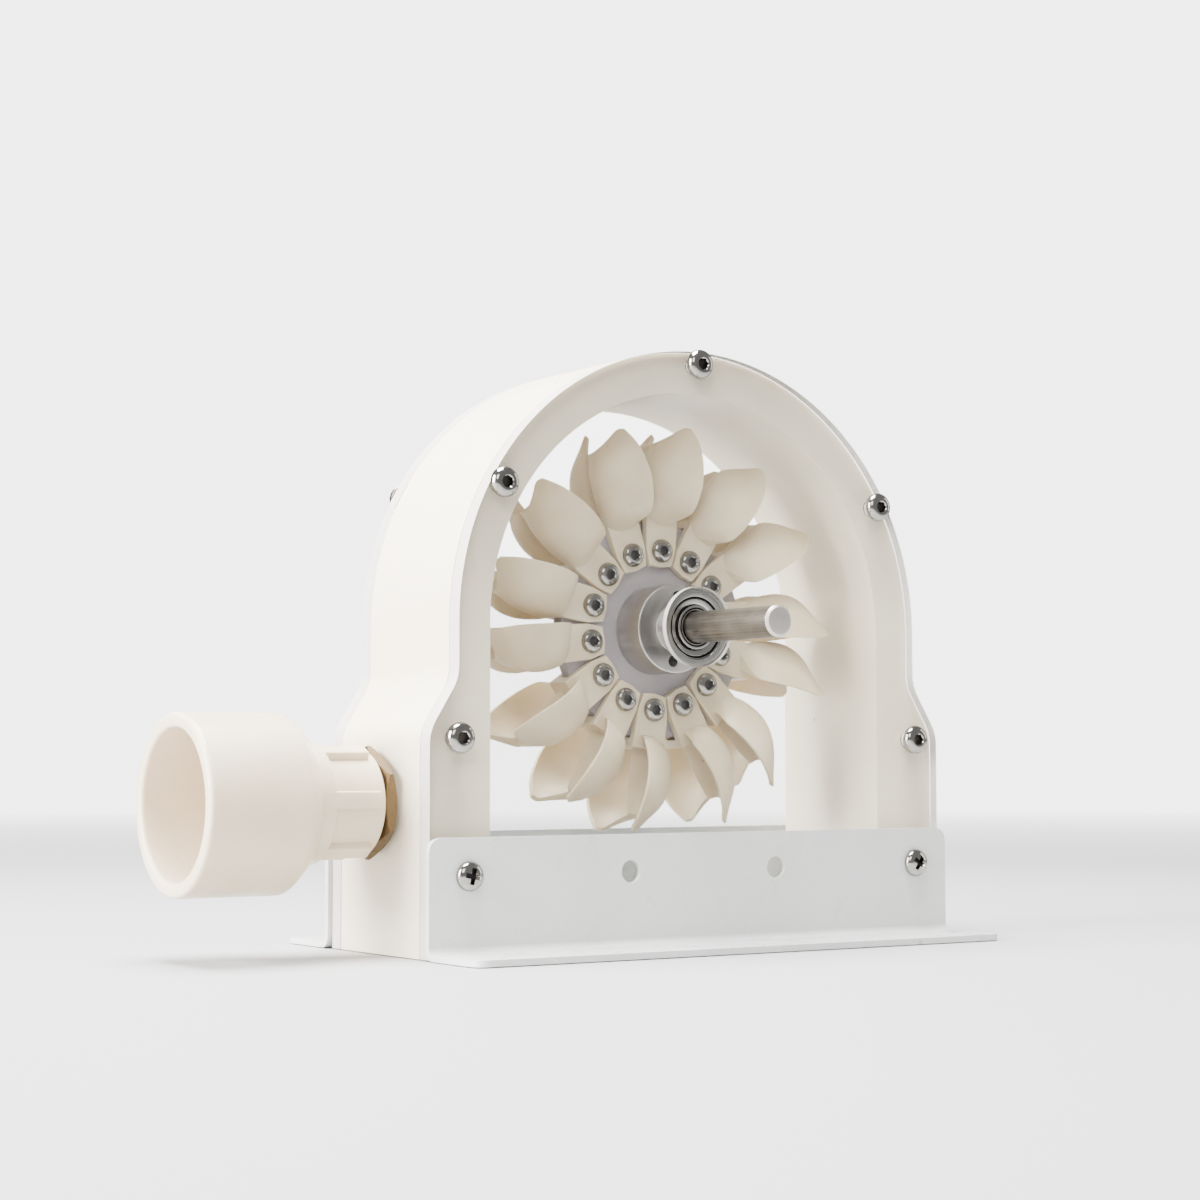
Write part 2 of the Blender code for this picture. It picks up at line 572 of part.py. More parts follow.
def bucket_cup_mesh():
    """Both hollows of a bucket: a grid for the hollow side and one for the back, joined round their edges."""
    bm = bmesh.new()
    for back in (False, True):
        grid = bmesh.ops.create_grid(bm, x_segments=CUP_STEPS_LONG, y_segments=CUP_STEPS_ACROSS, size=1)
        for vert in grid["verts"]:
            vert.co = cup_point((vert.co.x + 1) / 2, vert.co.y, back)
    bmesh.ops.bridge_loops(bm, edges=[edge for edge in bm.edges if edge.is_boundary])
    bmesh.ops.recalc_face_normals(bm, faces=bm.faces)
    mesh = bpy.data.meshes.new("bucket_cup")
    bm.to_mesh(mesh)
    bm.free()
    return mesh


def bucket_tab_mesh():
    widest = (TAB_HALF_V + GAP) / math.tan(math.pi / BUCKET_COUNT)
    outline = [(TAB_INNER_U, -TAB_INNER_HALF_V), (widest, -TAB_HALF_V), (TAB_OUTER_U, -TAB_OUTER_HALF_V),
               (TAB_OUTER_U, TAB_OUTER_HALF_V), (widest, TAB_HALF_V), (TAB_INNER_U, TAB_INNER_HALF_V)]
    hole = circle_points(BUCKET_SCREW_CIRCLE_R, 0, BUCKET_HOLE_R, HOLE_STEPS)
    return front_facing(flat_mesh("bucket_tab", [outline, hole], 2 * TAB_HALF_Y), 0)


def add_buckets(shop):
    """Fourteen twin cups, each with a forked tab that straddles the web of the disc."""
    cup = shop.add_cutter("bucket_cup", bucket_cup_mesh(), parent=shop.runner)
    tab = shop.add_cutter("bucket_tab", bucket_tab_mesh(), parent=shop.runner)
    add_boolean(tab, cup, "UNION")
    half_slot = WEB_HALF + GAP
    slot = turned_mesh("bucket_slot", [(-half_slot, 0), (-half_slot, SLOT_END_U), (half_slot, SLOT_END_U),
                                       (half_slot, 0)], DISC_STEPS)
    add_boolean(tab, shop.add_cutter("bucket_slot", slot, parent=shop.runner))
    bpy.context.view_layer.update()
    whole = bpy.data.meshes.new_from_object(tab.evaluated_get(bpy.context.evaluated_depsgraph_get()))
    whole.name = "bucket"
    whole.transform(Matrix.Translation((-BUCKET_SCREW_CIRCLE_R, 0, 0)))
    for index, tilt in enumerate(BUCKET_TILTS):
        angle = math.radians(BUCKET_PHASE + 360 * index / BUCKET_COUNT)
        screw_place = (BUCKET_SCREW_CIRCLE_R * math.cos(angle), 0, BUCKET_SCREW_CIRCLE_R * math.sin(angle))
        shop.add_part(f"bucket_{index + 1:02d}", whole, "bucket", parent=shop.runner, location=screw_place,
                      rotation=(0, -angle - math.radians(tilt), 0))


def build_unit():
    clear_scene()
    shop = Shop()
    add_casing(shop)
    for label, side in (("front", -1), ("back", 1)):
        add_cover(shop, label + "_cover", side)
        add_bracket(shop, label + "_bracket", side)
        add_screws(shop, side, label)
        add_bearing(shop, label, side)
        add_hub(shop, label, side)
    add_socket(shop)
    add_nozzle(shop)
    add_shaft(shop)
    add_disc(shop)
    add_buckets(shop)


build_unit()
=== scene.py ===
"""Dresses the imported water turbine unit: fine meshes, finishes, a pale studio and the photograph's camera.

Every piece is made in the unit's own frame, which has X across the casing, -Y out of its front, +Z up and the
middle of the casing's foot at the origin. Workshop.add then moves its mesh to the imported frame.
"""

import logging
import math
import random
from dataclasses import dataclass, field
from enum import Enum
from typing import Callable, Sequence

import bmesh
import bpy
from mathutils import Matrix, Vector

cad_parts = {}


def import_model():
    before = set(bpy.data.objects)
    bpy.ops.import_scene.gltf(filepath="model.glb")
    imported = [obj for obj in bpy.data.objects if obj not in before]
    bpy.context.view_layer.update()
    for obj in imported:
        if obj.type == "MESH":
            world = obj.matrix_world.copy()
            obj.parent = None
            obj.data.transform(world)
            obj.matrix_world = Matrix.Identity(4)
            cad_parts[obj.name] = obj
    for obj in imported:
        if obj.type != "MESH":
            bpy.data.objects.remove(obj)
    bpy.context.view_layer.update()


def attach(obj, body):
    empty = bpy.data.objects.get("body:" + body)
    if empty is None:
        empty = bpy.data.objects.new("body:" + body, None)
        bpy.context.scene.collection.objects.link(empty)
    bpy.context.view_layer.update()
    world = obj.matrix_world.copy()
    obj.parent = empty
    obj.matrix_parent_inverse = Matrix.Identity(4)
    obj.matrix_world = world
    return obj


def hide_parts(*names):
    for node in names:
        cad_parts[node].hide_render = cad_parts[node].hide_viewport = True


Point = tuple[float, float]
Corner = tuple[float, float, float]
Color = tuple[float, float, float]

LOG = logging.getLogger("water_turbine")
MM = 0.001
GAP = 0.3 * MM
PAST = 1 * MM
AXIS_Z = 101 * MM
INLET_Z = 46 * MM
UNIT_SHIFT = Vector((33.5 * MM, 5.85 * MM, 0))
AXIS = Vector((0, 0, AXIS_Z))
MERGE = 0.004 * MM
SLACK = 0.1 * MM
SHARP_EDGE = math.radians(60)
SMOOTH_ANGLE = math.radians(38)
FLAT_ANGLE = math.radians(0.2)
CORNER_REACH = 0.49
FINE_STEPS = 128
HEX_SIDES = 6
NOISE_SPAN = (0.3, 0.7)
CLOUD_SPAN = (0.35, 0.7)
DOT_RIM = (0.07, 0.12)
DOT_STEP = 0.002


class Body(Enum):
    """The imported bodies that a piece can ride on."""

    HOUSING = "housing"
    RUNNER = "runner"


class Side(Enum):
    """Which cover a piece belongs to. The value is the sign of its place along Y."""

    FRONT = -1
    BACK = 1

    @property
    def label(self) -> str:
        """The side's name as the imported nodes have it."""
        return self.name.lower()


class Axis(Enum):
    """The axis that a turned piece is made round."""

    X = "X"
    Y = "Y"

    @property
    def turn(self) -> Matrix:
        """The rotation that brings +Z onto this axis."""
        quarter = math.radians(90)
        return Matrix.Rotation(quarter, 4, "Y") if self is Axis.X else Matrix.Rotation(-quarter, 4, "X")


# ---------------------------------------------------------------- finishes


class Wiring:
    """Wires one material's nodes, with Object coordinates as the place on the piece."""

    def __init__(self, name: str) -> None:
        """Makes the material.

        Args:
            name: The material's name.
        """
        self.material = bpy.data.materials.new(name)
        self.material.use_nodes = True
        self.tree = self.material.node_tree
        self.shader = self.tree.nodes["Principled BSDF"]
        self.output = self.tree.nodes["Material Output"]
        self.place = self.tree.nodes.new("ShaderNodeTexCoord").outputs["Object"]

    def link(self, source: bpy.types.NodeSocket, target: bpy.types.NodeSocket) -> None:
        """Joins two sockets."""
        self.tree.links.new(source, target)

    def stretched(self, scale: Sequence[float]) -> bpy.types.NodeSocket:
        """Stretches the place that a pattern is read at.

        Args:
            scale: The factor on each axis.

        Returns:
            The stretched place.
        """
        node = self.tree.nodes.new("ShaderNodeMapping")
        node.inputs["Scale"].default_value = scale
        self.link(self.place, node.inputs["Vector"])
        return node.outputs["Vector"]

    def round_place(self, centre: Vector, axis: Axis) -> bpy.types.NodeSocket:
        """Returns (radius, distance along the axis, 0), for marks that a lathe leaves.

        Args:
            centre: A point on the axis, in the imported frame.
            axis: The axis.

        Returns:
            The vector socket.
        """
        shift = self.tree.nodes.new("ShaderNodeVectorMath")
        shift.operation = "SUBTRACT"
        self.link(self.place, shift.inputs[0])
        shift.inputs[1].default_value = centre
        split = self.tree.nodes.new("ShaderNodeSeparateXYZ")
        self.link(shift.outputs[0], split.inputs[0])
        flat = self.tree.nodes.new("ShaderNodeVectorMath")
        flat.operation = "MULTIPLY"
        self.link(shift.outputs[0], flat.inputs[0])
        flat.inputs[1].default_value = (0, 1, 1) if axis is Axis.X else (1, 0, 1)
        radius = self.tree.nodes.new("ShaderNodeVectorMath")
        radius.operation = "LENGTH"
        self.link(flat.outputs[0], radius.inputs[0])
        join = self.tree.nodes.new("ShaderNodeCombineXYZ")
        self.link(radius.outputs["Value"], join.inputs["X"])
        self.link(split.outputs[axis.value], join.inputs["Y"])
        return join.outputs[0]

    def noise(self, place: bpy.types.NodeSocket, scale: float, detail: float = 3.0) -> bpy.types.NodeSocket:
        """Returns a noise value from about 0.2 to 0.8.

        Args:
            place: The place on the piece.
            scale: How many waves there are to a metre.
            detail: How many finer waves are added.

        Returns:
            The value socket.
        """
        node = self.tree.nodes.new("ShaderNodeTexNoise")
        node.inputs["Scale"].default_value = scale
        node.inputs["Detail"].default_value = detail
        self.link(place, node.inputs["Vector"])
        return node.outputs["Fac"]

    def ranged(self, value: bpy.types.NodeSocket, start: Point, end: Point) -> bpy.types.NodeSocket:
        """Maps a value from one range to another, clamped.

        Args:
            value: The value.
            start: The range that it comes from.
            end: The range that it goes to.

        Returns:
            The mapped value.
        """
        node = self.tree.nodes.new("ShaderNodeMapRange")
        for name, number in zip(("From Min", "From Max", "To Min", "To Max"), (*start, *end)):
            node.inputs[name].default_value = number
        self.link(value, node.inputs["Value"])
        return node.outputs["Result"]

    def multiplied(self, a: bpy.types.NodeSocket, b: bpy.types.NodeSocket) -> bpy.types.NodeSocket:
        """Multiplies two values.

        Args:
            a: The first value.
            b: The second value.

        Returns:
            Their product.
        """
        node = self.tree.nodes.new("ShaderNodeMath")
        node.operation = "MULTIPLY"
        self.link(a, node.inputs[0])
        self.link(b, node.inputs[1])
        return node.outputs[0]

    def blended(self, share: bpy.types.NodeSocket, a: Color | bpy.types.NodeSocket,
                b: Color) -> bpy.types.NodeSocket:
        """Blends two colours.

        Args:
            share: How much of the second colour, from 0 to 1.
            a: The first colour, or a socket that gives it.
            b: The second colour.

        Returns:
            The colour socket.
        """
        node = self.tree.nodes.new("ShaderNodeMix")
        node.data_type = "RGBA"
        self.link(share, node.inputs["Factor"])
        if isinstance(a, bpy.types.NodeSocket):
            self.link(a, node.inputs["A"])
        else:
            next(s for s in node.inputs if s.identifier == "A_Color").default_value = (*a, 1)
        next(s for s in node.inputs if s.identifier == "B_Color").default_value = (*b, 1)
        return next(s for s in node.outputs if s.identifier == "Result_Color")

    def specks(self, size: float, share: float) -> bpy.types.NodeSocket:
        """Returns 1 in small scattered dots and 0 elsewhere.

        Args:
            size: The distance between places that may hold a dot, in metres.
            share: The share of those places that hold one.

        Returns:
            The value socket.
        """
        node = self.tree.nodes.new("ShaderNodeTexVoronoi")
        node.inputs["Scale"].default_value = 1 / size
        self.link(self.place, node.inputs["Vector"])
        dots = self.ranged(node.outputs["Distance"], DOT_RIM, (1, 0))
        split = self.tree.nodes.new("ShaderNodeSeparateColor")
        self.link(node.outputs["Color"], split.inputs[0])
        chosen = self.ranged(split.outputs[0], (1 - share - DOT_STEP, 1 - share), (0, 1))
        return self.multiplied(dots, chosen)

    def bump(self, height: bpy.types.NodeSocket, depth: float) -> None:
        """Adds a bump, on top of one that is already there.

        Args:
            height: The height, from 0 to 1.
            depth: What a height of 1 stands for, in metres.
        """
        node = self.tree.nodes.new("ShaderNodeBump")
        node.inputs["Strength"].default_value = 1.0
        node.inputs["Distance"].default_value = depth
        self.link(height, node.inputs["Height"])
        socket = self.shader.inputs["Normal"]
        if socket.is_linked:
            self.link(socket.links[0].from_socket, node.inputs["Normal"])
        self.link(node.outputs[0], socket)

    def set(self, **values: float | tuple) -> None:
        """Sets plain values of the shader. Underscores in the names stand for spaces."""
        for name, value in values.items():
            self.shader.inputs[name.replace("_", " ")].default_value = value


@dataclass(frozen=True)
class MouldedPlastic:
    """Satin plastic with a soft cloudy tone, a fine grain and a few dark specks."""

    name: str
    color: Color
    cloud: Color
    slot: str
    roughness: float = 0.42
    spread: float = 0.1
    cloud_size: float = 30 * MM
    rub_share: float = 2.5
    grain_size: float = 0.6 * MM
    grain_depth: float = 0.012 * MM
    wave_size: float = 14 * MM
    wave_depth: float = 0.05 * MM
    speck_size: float = 3 * MM
    speck_share: float = 0.0
    speck_color: Color = (0.2, 0.16, 0.12)
    glow: float = 0.0
    glow_depth: float = 3 * MM
    glow_color: Color = (1.0, 0.85, 0.65)

    def build(self) -> bpy.types.Material:
        """Wires the finish.

        Returns:
            The material.
        """
        wiring = Wiring(self.name)
        clouds = wiring.ranged(wiring.noise(wiring.place, 1 / self.cloud_size, detail=4), CLOUD_SPAN, (0, 1))
        color = wiring.blended(clouds, self.color, self.cloud)
        if self.speck_share:
            color = wiring.blended(wiring.specks(self.speck_size, self.speck_share), color, self.speck_color)
        wiring.link(color, wiring.shader.inputs["Base Color"])
        rubbed = wiring.noise(wiring.place, self.rub_share / self.cloud_size, detail=5)
        spread = (self.roughness - self.spread, self.roughness + self.spread)
        wiring.link(wiring.ranged(rubbed, NOISE_SPAN, spread), wiring.shader.inputs["Roughness"])
        wiring.bump(wiring.noise(wiring.place, 1 / self.grain_size, detail=2), self.grain_depth)
        wiring.bump(wiring.noise(wiring.place, 1 / self.wave_size, detail=1), self.wave_depth)
        if self.glow:
            wiring.set(Subsurface_Weight=self.glow, Subsurface_Radius=self.glow_color,
                       Subsurface_Scale=self.glow_depth)
        return wiring.material


@dataclass(frozen=True)
class TurnedMetal:
    """Metal from a lathe or a die: fine rings or lengthwise streaks, and a soft change of tone."""

    name: str
    color: Color
    tone: Color
    slot: str
    roughness: float = 0.25
    spread: float = 0.08
    centre: Vector | None = None
    axis: Axis = Axis.Y
    ring_size: float = 0.25 * MM
    ring_depth: float = 0.004 * MM
    streak_size: Sequence[float] = (0.5 * MM, 30 * MM, 0.5 * MM)
    tone_share: float = 0.5
    stain_scale: float = 90
    stain_span: Point = (0.12, 0.42)

    def build(self) -> bpy.types.Material:
        """Wires the finish.

        Returns:
            The material.
        """
        wiring = Wiring(self.name)
        wiring.set(Metallic=1.0)
        if self.centre is not None:
            marks = wiring.noise(wiring.round_place(self.centre, self.axis), 1 / self.ring_size, detail=4)
        else:
            marks = wiring.noise(wiring.stretched([1 / size for size in self.streak_size]), 1, detail=4)
        stains = wiring.noise(wiring.place, self.stain_scale, detail=4)
        share = wiring.ranged(wiring.multiplied(marks, stains), self.stain_span, (0, self.tone_share))
        wiring.link(wiring.blended(share, self.color, self.tone), wiring.shader.inputs["Base Color"])
        spread = (self.roughness - self.spread, self.roughness + self.spread)
        wiring.link(wiring.ranged(marks, NOISE_SPAN, spread), wiring.shader.inputs["Roughness"])
        wiring.bump(marks, self.ring_depth)
        return wiring.material


@dataclass(frozen=True)
class ClearSheet:
    """Clear acrylic that bends what is seen through it and lets lamps reach what is behind it."""

    name: str
    color: Color
    slot: str
    roughness: float = 0.02
    bend: float = 1.49
    shine: float = 0.3
    wipe_scale: float = 60
    wipe_range: Point = (0.6, 1.4)
    wave_scale: float = 25
    wave_depth: float = 0.02 * MM

    def build(self) -> bpy.types.Material:
        """Wires the finish.

        Returns:
            The material.
        """
        wiring = Wiring(self.name)
        wiring.set(Base_Color=(*self.color, 1), Transmission_Weight=1.0, IOR=self.bend,
                   Specular_IOR_Level=self.shine)
        wiped = wiring.noise(wiring.place, self.wipe_scale, detail=4)
        spread = (self.roughness * self.wipe_range[0], self.roughness * self.wipe_range[1])
        wiring.link(wiring.ranged(wiped, CLOUD_SPAN, spread), wiring.shader.inputs["Roughness"])
        wiring.bump(wiring.noise(wiring.place, self.wave_scale, detail=1), self.wave_depth)
        window = wiring.tree.nodes.new("ShaderNodeBsdfTransparent")
        window.inputs["Color"].default_value = (*self.color, 1)
        path = wiring.tree.nodes.new("ShaderNodeLightPath")
        mix = wiring.tree.nodes.new("ShaderNodeMixShader")
        wiring.link(path.outputs["Is Shadow Ray"], mix.inputs[0])
        wiring.link(wiring.shader.outputs[0], mix.inputs[1])
        wiring.link(window.outputs[0], mix.inputs[2])
        wiring.link(mix.outputs[0], wiring.output.inputs["Surface"])
        return wiring.material


@dataclass(frozen=True)
class Shade:
    """A near-black finish for the inside of grooves, recesses and holes: painted shade."""

    name: str
    slot: str
    # Near-black: this colour is painted shade, not a colour the metal has.
    color: Color = (0.010, 0.008, 0.007)
    roughness: float = 0.6
    spread: float = 0.15
    shine: float = 0.2
    smear_scale: float = 700
    smear_depth: float = 0.01 * MM

    def build(self) -> bpy.types.Material:
        """Wires the finish.

        Returns:
            The material.
        """
        wiring = Wiring(self.name)
        wiring.set(Base_Color=(*self.color, 1), Specular_IOR_Level=self.shine)
        smear = wiring.noise(wiring.place, self.smear_scale, detail=3)
        spread = (self.roughness - self.spread, self.roughness + self.spread)
        wiring.link(wiring.ranged(smear, NOISE_SPAN, spread), wiring.shader.inputs["Roughness"])
        wiring.bump(smear, self.smear_depth)
        return wiring.material


Finish = MouldedPlastic | TurnedMetal | ClearSheet | Shade

SHAFT_LINE = UNIT_SHIFT + AXIS
INLET_LINE = UNIT_SHIFT + Vector((0, 0, INLET_Z))
CASING_WHITE = MouldedPlastic("casing_white", (0.775, 0.68, 0.52), (0.81, 0.725, 0.58), "casing",
                              roughness=0.38,
                              cloud_size=60 * MM, speck_size=9 * MM, speck_share=0.03, glow=0.15)
SHEET_CLEAR = ClearSheet("acrylic_clear", (0.985, 0.99, 0.985), "clear_cover")
SHEET_EDGE = MouldedPlastic("acrylic_sawn_edge", (0.50, 0.47, 0.43), (0.58, 0.55, 0.51), "clear_cover",
                            roughness=0.5, grain_size=0.4 * MM, grain_depth=0.03 * MM, glow=0.2)
BRACKET_ENAMEL = MouldedPlastic("bracket_enamel", (0.55, 0.555, 0.54), (0.59, 0.595, 0.58), "bracket",
                                roughness=0.33, grain_size=0.9 * MM, grain_depth=0.02 * MM,
                                speck_size=14 * MM, speck_share=0.05)
SOCKET_IVORY = MouldedPlastic("socket_ivory", (0.63, 0.515, 0.365), (0.68, 0.575, 0.435), "socket",
                              roughness=0.36,
                              glow=0.2)
BUCKET_IVORY = MouldedPlastic("bucket_ivory", (0.605, 0.50, 0.335), (0.68, 0.585, 0.42), "bucket",
                              roughness=0.45,
                              cloud_size=12 * MM, grain_size=0.5 * MM, grain_depth=0.02 * MM,
                              wave_size=7 * MM, wave_depth=0.08 * MM, speck_size=3 * MM, speck_share=0.035,
                              glow=0.35)
DISC_GREY = MouldedPlastic("disc_grey", (0.27, 0.241, 0.246), (0.325, 0.291, 0.296), "disc", roughness=0.5,
                           cloud_size=10 * MM, speck_size=2.5 * MM, speck_share=0.04, glow=0.1)
BRASS = TurnedMetal("brass_dull", (0.155, 0.108, 0.058), (0.09, 0.063, 0.034), "brass", roughness=0.40,
                    centre=INLET_LINE, axis=Axis.X, ring_size=0.5 * MM, tone_share=0.8)
SCREW_STEEL = TurnedMetal("screw_steel", (0.34, 0.325, 0.30), (0.20, 0.19, 0.175), "steel", roughness=0.13,
                          streak_size=(0.8 * MM, 0.8 * MM, 0.8 * MM), tone_share=0.6)
# Painted shade: a darker copy of the screw steel for the hex sockets, standing in for the shade down in them.
SOCKET_SHADE_STEEL = TurnedMetal("socket_steel_painted_shade", (0.085, 0.078, 0.07), (0.03, 0.028, 0.025), "steel",
                           roughness=0.32,
                           streak_size=(0.7 * MM, 0.7 * MM, 0.7 * MM), tone_share=0.7)
BEARING_STEEL = TurnedMetal("bearing_steel", (0.38, 0.37, 0.35), (0.23, 0.222, 0.21), "steel", roughness=0.3,
                            centre=SHAFT_LINE, ring_size=0.3 * MM, tone_share=0.4)
SHAFT_STEEL = TurnedMetal("shaft_steel", (0.25, 0.224, 0.194), (0.07, 0.062, 0.053), "shaft", roughness=0.34,
                          streak_size=(0.6 * MM, 60 * MM, 0.6 * MM), ring_depth=0.01 * MM, tone_share=0.9)
SHAFT_FACE = TurnedMetal("shaft_ground_face", (0.54, 0.505, 0.47), (0.43, 0.40, 0.37), "shaft",
                         roughness=0.42,
                         centre=SHAFT_LINE, ring_size=0.3 * MM, ring_depth=0.002 * MM, tone_share=0.4)
HUB_ALUMINIUM = TurnedMetal("hub_aluminium", (0.51, 0.485, 0.465), (0.365, 0.345, 0.33), "hub",
                            roughness=0.34,
                            centre=SHAFT_LINE, ring_size=0.35 * MM, ring_depth=0.0015 * MM, tone_share=0.4)
SHIELD_STEEL = TurnedMetal("shield_steel", (0.40, 0.39, 0.37), (0.26, 0.25, 0.235), "steel", roughness=0.25,
                           centre=SHAFT_LINE, ring_size=0.25 * MM, tone_share=0.5)
# Painted shade: this near-black finish goes into bearing grooves, cross recesses and hub holes.
GROOVE_SHADE = Shade("groove_shade", "steel")
SCREW_LOOKS = (SCREW_STEEL, SOCKET_SHADE_STEEL)
CROSS_LOOKS = (SCREW_STEEL, GROOVE_SHADE)
BEARING_LOOKS = (BEARING_STEEL, GROOVE_SHADE, SHIELD_STEEL)


# ---------------------------------------------------------------- mesh making


def arc(centre: Point, radius: float, start: float, end: float, steps: int) -> list[Point]:
    """Returns points along an arc. Angles are in degrees.

    Args:
        centre: The arc's centre.
        radius: Its radius.
        start: The first angle, in degrees.
        end: The last angle, in degrees.
        steps: The steps of the arc.

    Returns:
        The points, one more than the steps.
    """
    angles = [math.radians(start + (end - start) * index / steps) for index in range(steps + 1)]
    return [(centre[0] + radius * math.cos(a), centre[1] + radius * math.sin(a)) for a in angles]


def circle(centre: Point, radius: float, steps: int) -> list[Point]:
    """Returns the points of a whole circle."""
    return arc(centre, radius, 0, 360 * (steps - 1) / steps, steps - 1)


def softened(corners: Sequence[Corner], steps: int = 4) -> list[Point]:
    """Rounds the corners of a closed outline.

    Args:
        corners: Each corner as (x, y, radius). A radius of 0 keeps it sharp.
        steps: The steps of each round.

    Returns:
        The outline's points.
    """
    points: list[Point] = []
    for index, (x, y, radius) in enumerate(corners):
        here = Vector((x, y))
        if radius <= 0:
            points.append((x, y))
            continue
        back = Vector(corners[index - 1][:2]) - here
        ahead = Vector(corners[(index + 1) % len(corners)][:2]) - here
        reach = radius / math.tan(back.angle(ahead) / 2)
        reach = min(reach, back.length * CORNER_REACH, ahead.length * CORNER_REACH)
        start = here + back.normalized() * reach
        end = here + ahead.normalized() * reach
        for step in range(steps + 1):
            share = step / steps
            point = start.lerp(here, share).lerp(here.lerp(end, share), share)
            points.append((point.x, point.y))
    return points


def sealed(bm: bmesh.types.BMesh) -> bmesh.types.BMesh:
    """Merges doubles, drops edges without faces and turns the faces outwards.

    Args:
        bm: The piece.

    Returns:
        The same piece.
    """
    bmesh.ops.remove_doubles(bm, verts=bm.verts, dist=MERGE)
    bmesh.ops.dissolve_degenerate(bm, edges=bm.edges, dist=MERGE)
    bmesh.ops.delete(bm, geom=[edge for edge in bm.edges if not edge.link_faces], context="EDGES")
    bmesh.ops.recalc_face_normals(bm, faces=bm.faces)
    if bm.calc_volume(signed=True) < 0:
        bmesh.ops.reverse_faces(bm, faces=bm.faces)
    return bm


def turned(profile: Sequence[Point], axis: Axis, steps: int = 96) -> bmesh.types.BMesh:
    """Turns a closed profile into a round piece.

    Args:
        profile: Points of (distance along the axis, radius).
        axis: The axis that it is turned round.
        steps: The steps of the whole turn.

    Returns:
        The piece.
    """
    bm = bmesh.new()
    ring = [bm.verts.new((radius, 0, distance)) for distance, radius in profile]
    edges = [bm.edges.new(pair) for pair in zip(ring, ring[1:] + ring[:1])]
    bmesh.ops.spin(bm, geom=ring + edges, cent=(0, 0, 0), axis=(0, 0, 1), angle=2 * math.pi, steps=steps,
                   use_merge=True)
    sealed(bm)
    bmesh.ops.transform(bm, matrix=axis.turn, verts=bm.verts)
    return bm


def bevel_edges(bm: bmesh.types.BMesh, edges: Sequence[bmesh.types.BMEdge], width: float,
                segments: int = 3) -> None:
    """Rounds edges off.

    Args:
        bm: The piece.
        edges: The edges.
        width: How far the round reaches from each edge.
        segments: The steps of the round.
    """
    bmesh.ops.bevel(bm, geom=list(edges), offset=width, offset_type="OFFSET", segments=segments, profile=0.5,
                    affect="EDGES", material=-1, clamp_overlap=True)


def sharp_edges(bm: bmesh.types.BMesh, angle: float = SHARP_EDGE) -> list[bmesh.types.BMEdge]:
    """Returns the edges whose faces meet at more than a given angle."""
    return [edge for edge in bm.edges if len(edge.link_faces) == 2 and edge.calc_face_angle() > angle]


def plate(loops: Sequence[Sequence[Point]], thickness: float, edge: float = 0.0,
          segments: int = 3) -> bmesh.types.BMesh:
    """A flat piece in XY, centred on Z, with its long edges rounded.

    Args:
        loops: The outlines and the holes.
        thickness: The plate's thickness.
        edge: The round of its edges, or 0.
        segments: The steps of that round.

    Returns:
        The piece.
    """
    curve = bpy.data.curves.new("plate", "CURVE")
    curve.dimensions = "2D"
    curve.fill_mode = "BOTH"
    curve.extrude = thickness / 2
    for loop in loops:
        spline = curve.splines.new("POLY")
        spline.points.add(len(loop) - 1)
        for point, (x, y) in zip(spline.points, loop):
            point.co = (x, y, 0, 1)
        spline.use_cyclic_u = True
    holder = bpy.data.objects.new("plate", curve)
    bpy.context.scene.collection.objects.link(holder)
    bpy.context.view_layer.update()
    mesh = bpy.data.meshes.new_from_object(holder.evaluated_get(bpy.context.evaluated_depsgraph_get()))
    bpy.data.objects.remove(holder, do_unlink=True)
    bpy.data.curves.remove(curve)
    bm = bmesh.new()
    bm.from_mesh(mesh)
    bpy.data.meshes.remove(mesh)
    sealed(bm)
    bmesh.ops.dissolve_limit(bm, angle_limit=FLAT_ANGLE, verts=bm.verts, edges=bm.edges)
    if edge:
        bevel_edges(bm, sharp_edges(bm), edge, segments)
    return bm


def standing(bm: bmesh.types.BMesh, y: float = 0.0) -> bmesh.types.BMesh:
    """Stands a plate up into XZ.

    Args:
        bm: The plate, which lies in XY.
        y: Where its middle goes.

    Returns:
        The same plate.
    """
    matrix = Matrix.Translation((0, y, 0)) @ Matrix.Rotation(math.radians(90), 4, "X")
    bmesh.ops.transform(bm, matrix=matrix, verts=bm.verts)
    return bm


def moved(bm: bmesh.types.BMesh, place: Sequence[float], turn: Matrix | None = None) -> bmesh.types.BMesh:
    """Turns a piece about the origin and then moves it.

    Args:
        bm: The piece.
        place: How far it moves on each axis.
        turn: The rotation, if any.

    Returns:
        The same piece.
    """
    matrix = Matrix.Translation(place) @ (turn or Matrix.Identity(4))
    bmesh.ops.transform(bm, matrix=matrix, verts=bm.verts)
    return bm


def to_mesh(bm: bmesh.types.BMesh, name: str) -> bpy.types.Mesh:
    """Turns a finished bmesh into a mesh and frees it.

    Args:
        bm: The bmesh.
        name: The mesh's name.

    Returns:
        The mesh.
    """
    mesh = bpy.data.meshes.new(name)
    bm.to_mesh(mesh)
    bm.free()
    return mesh


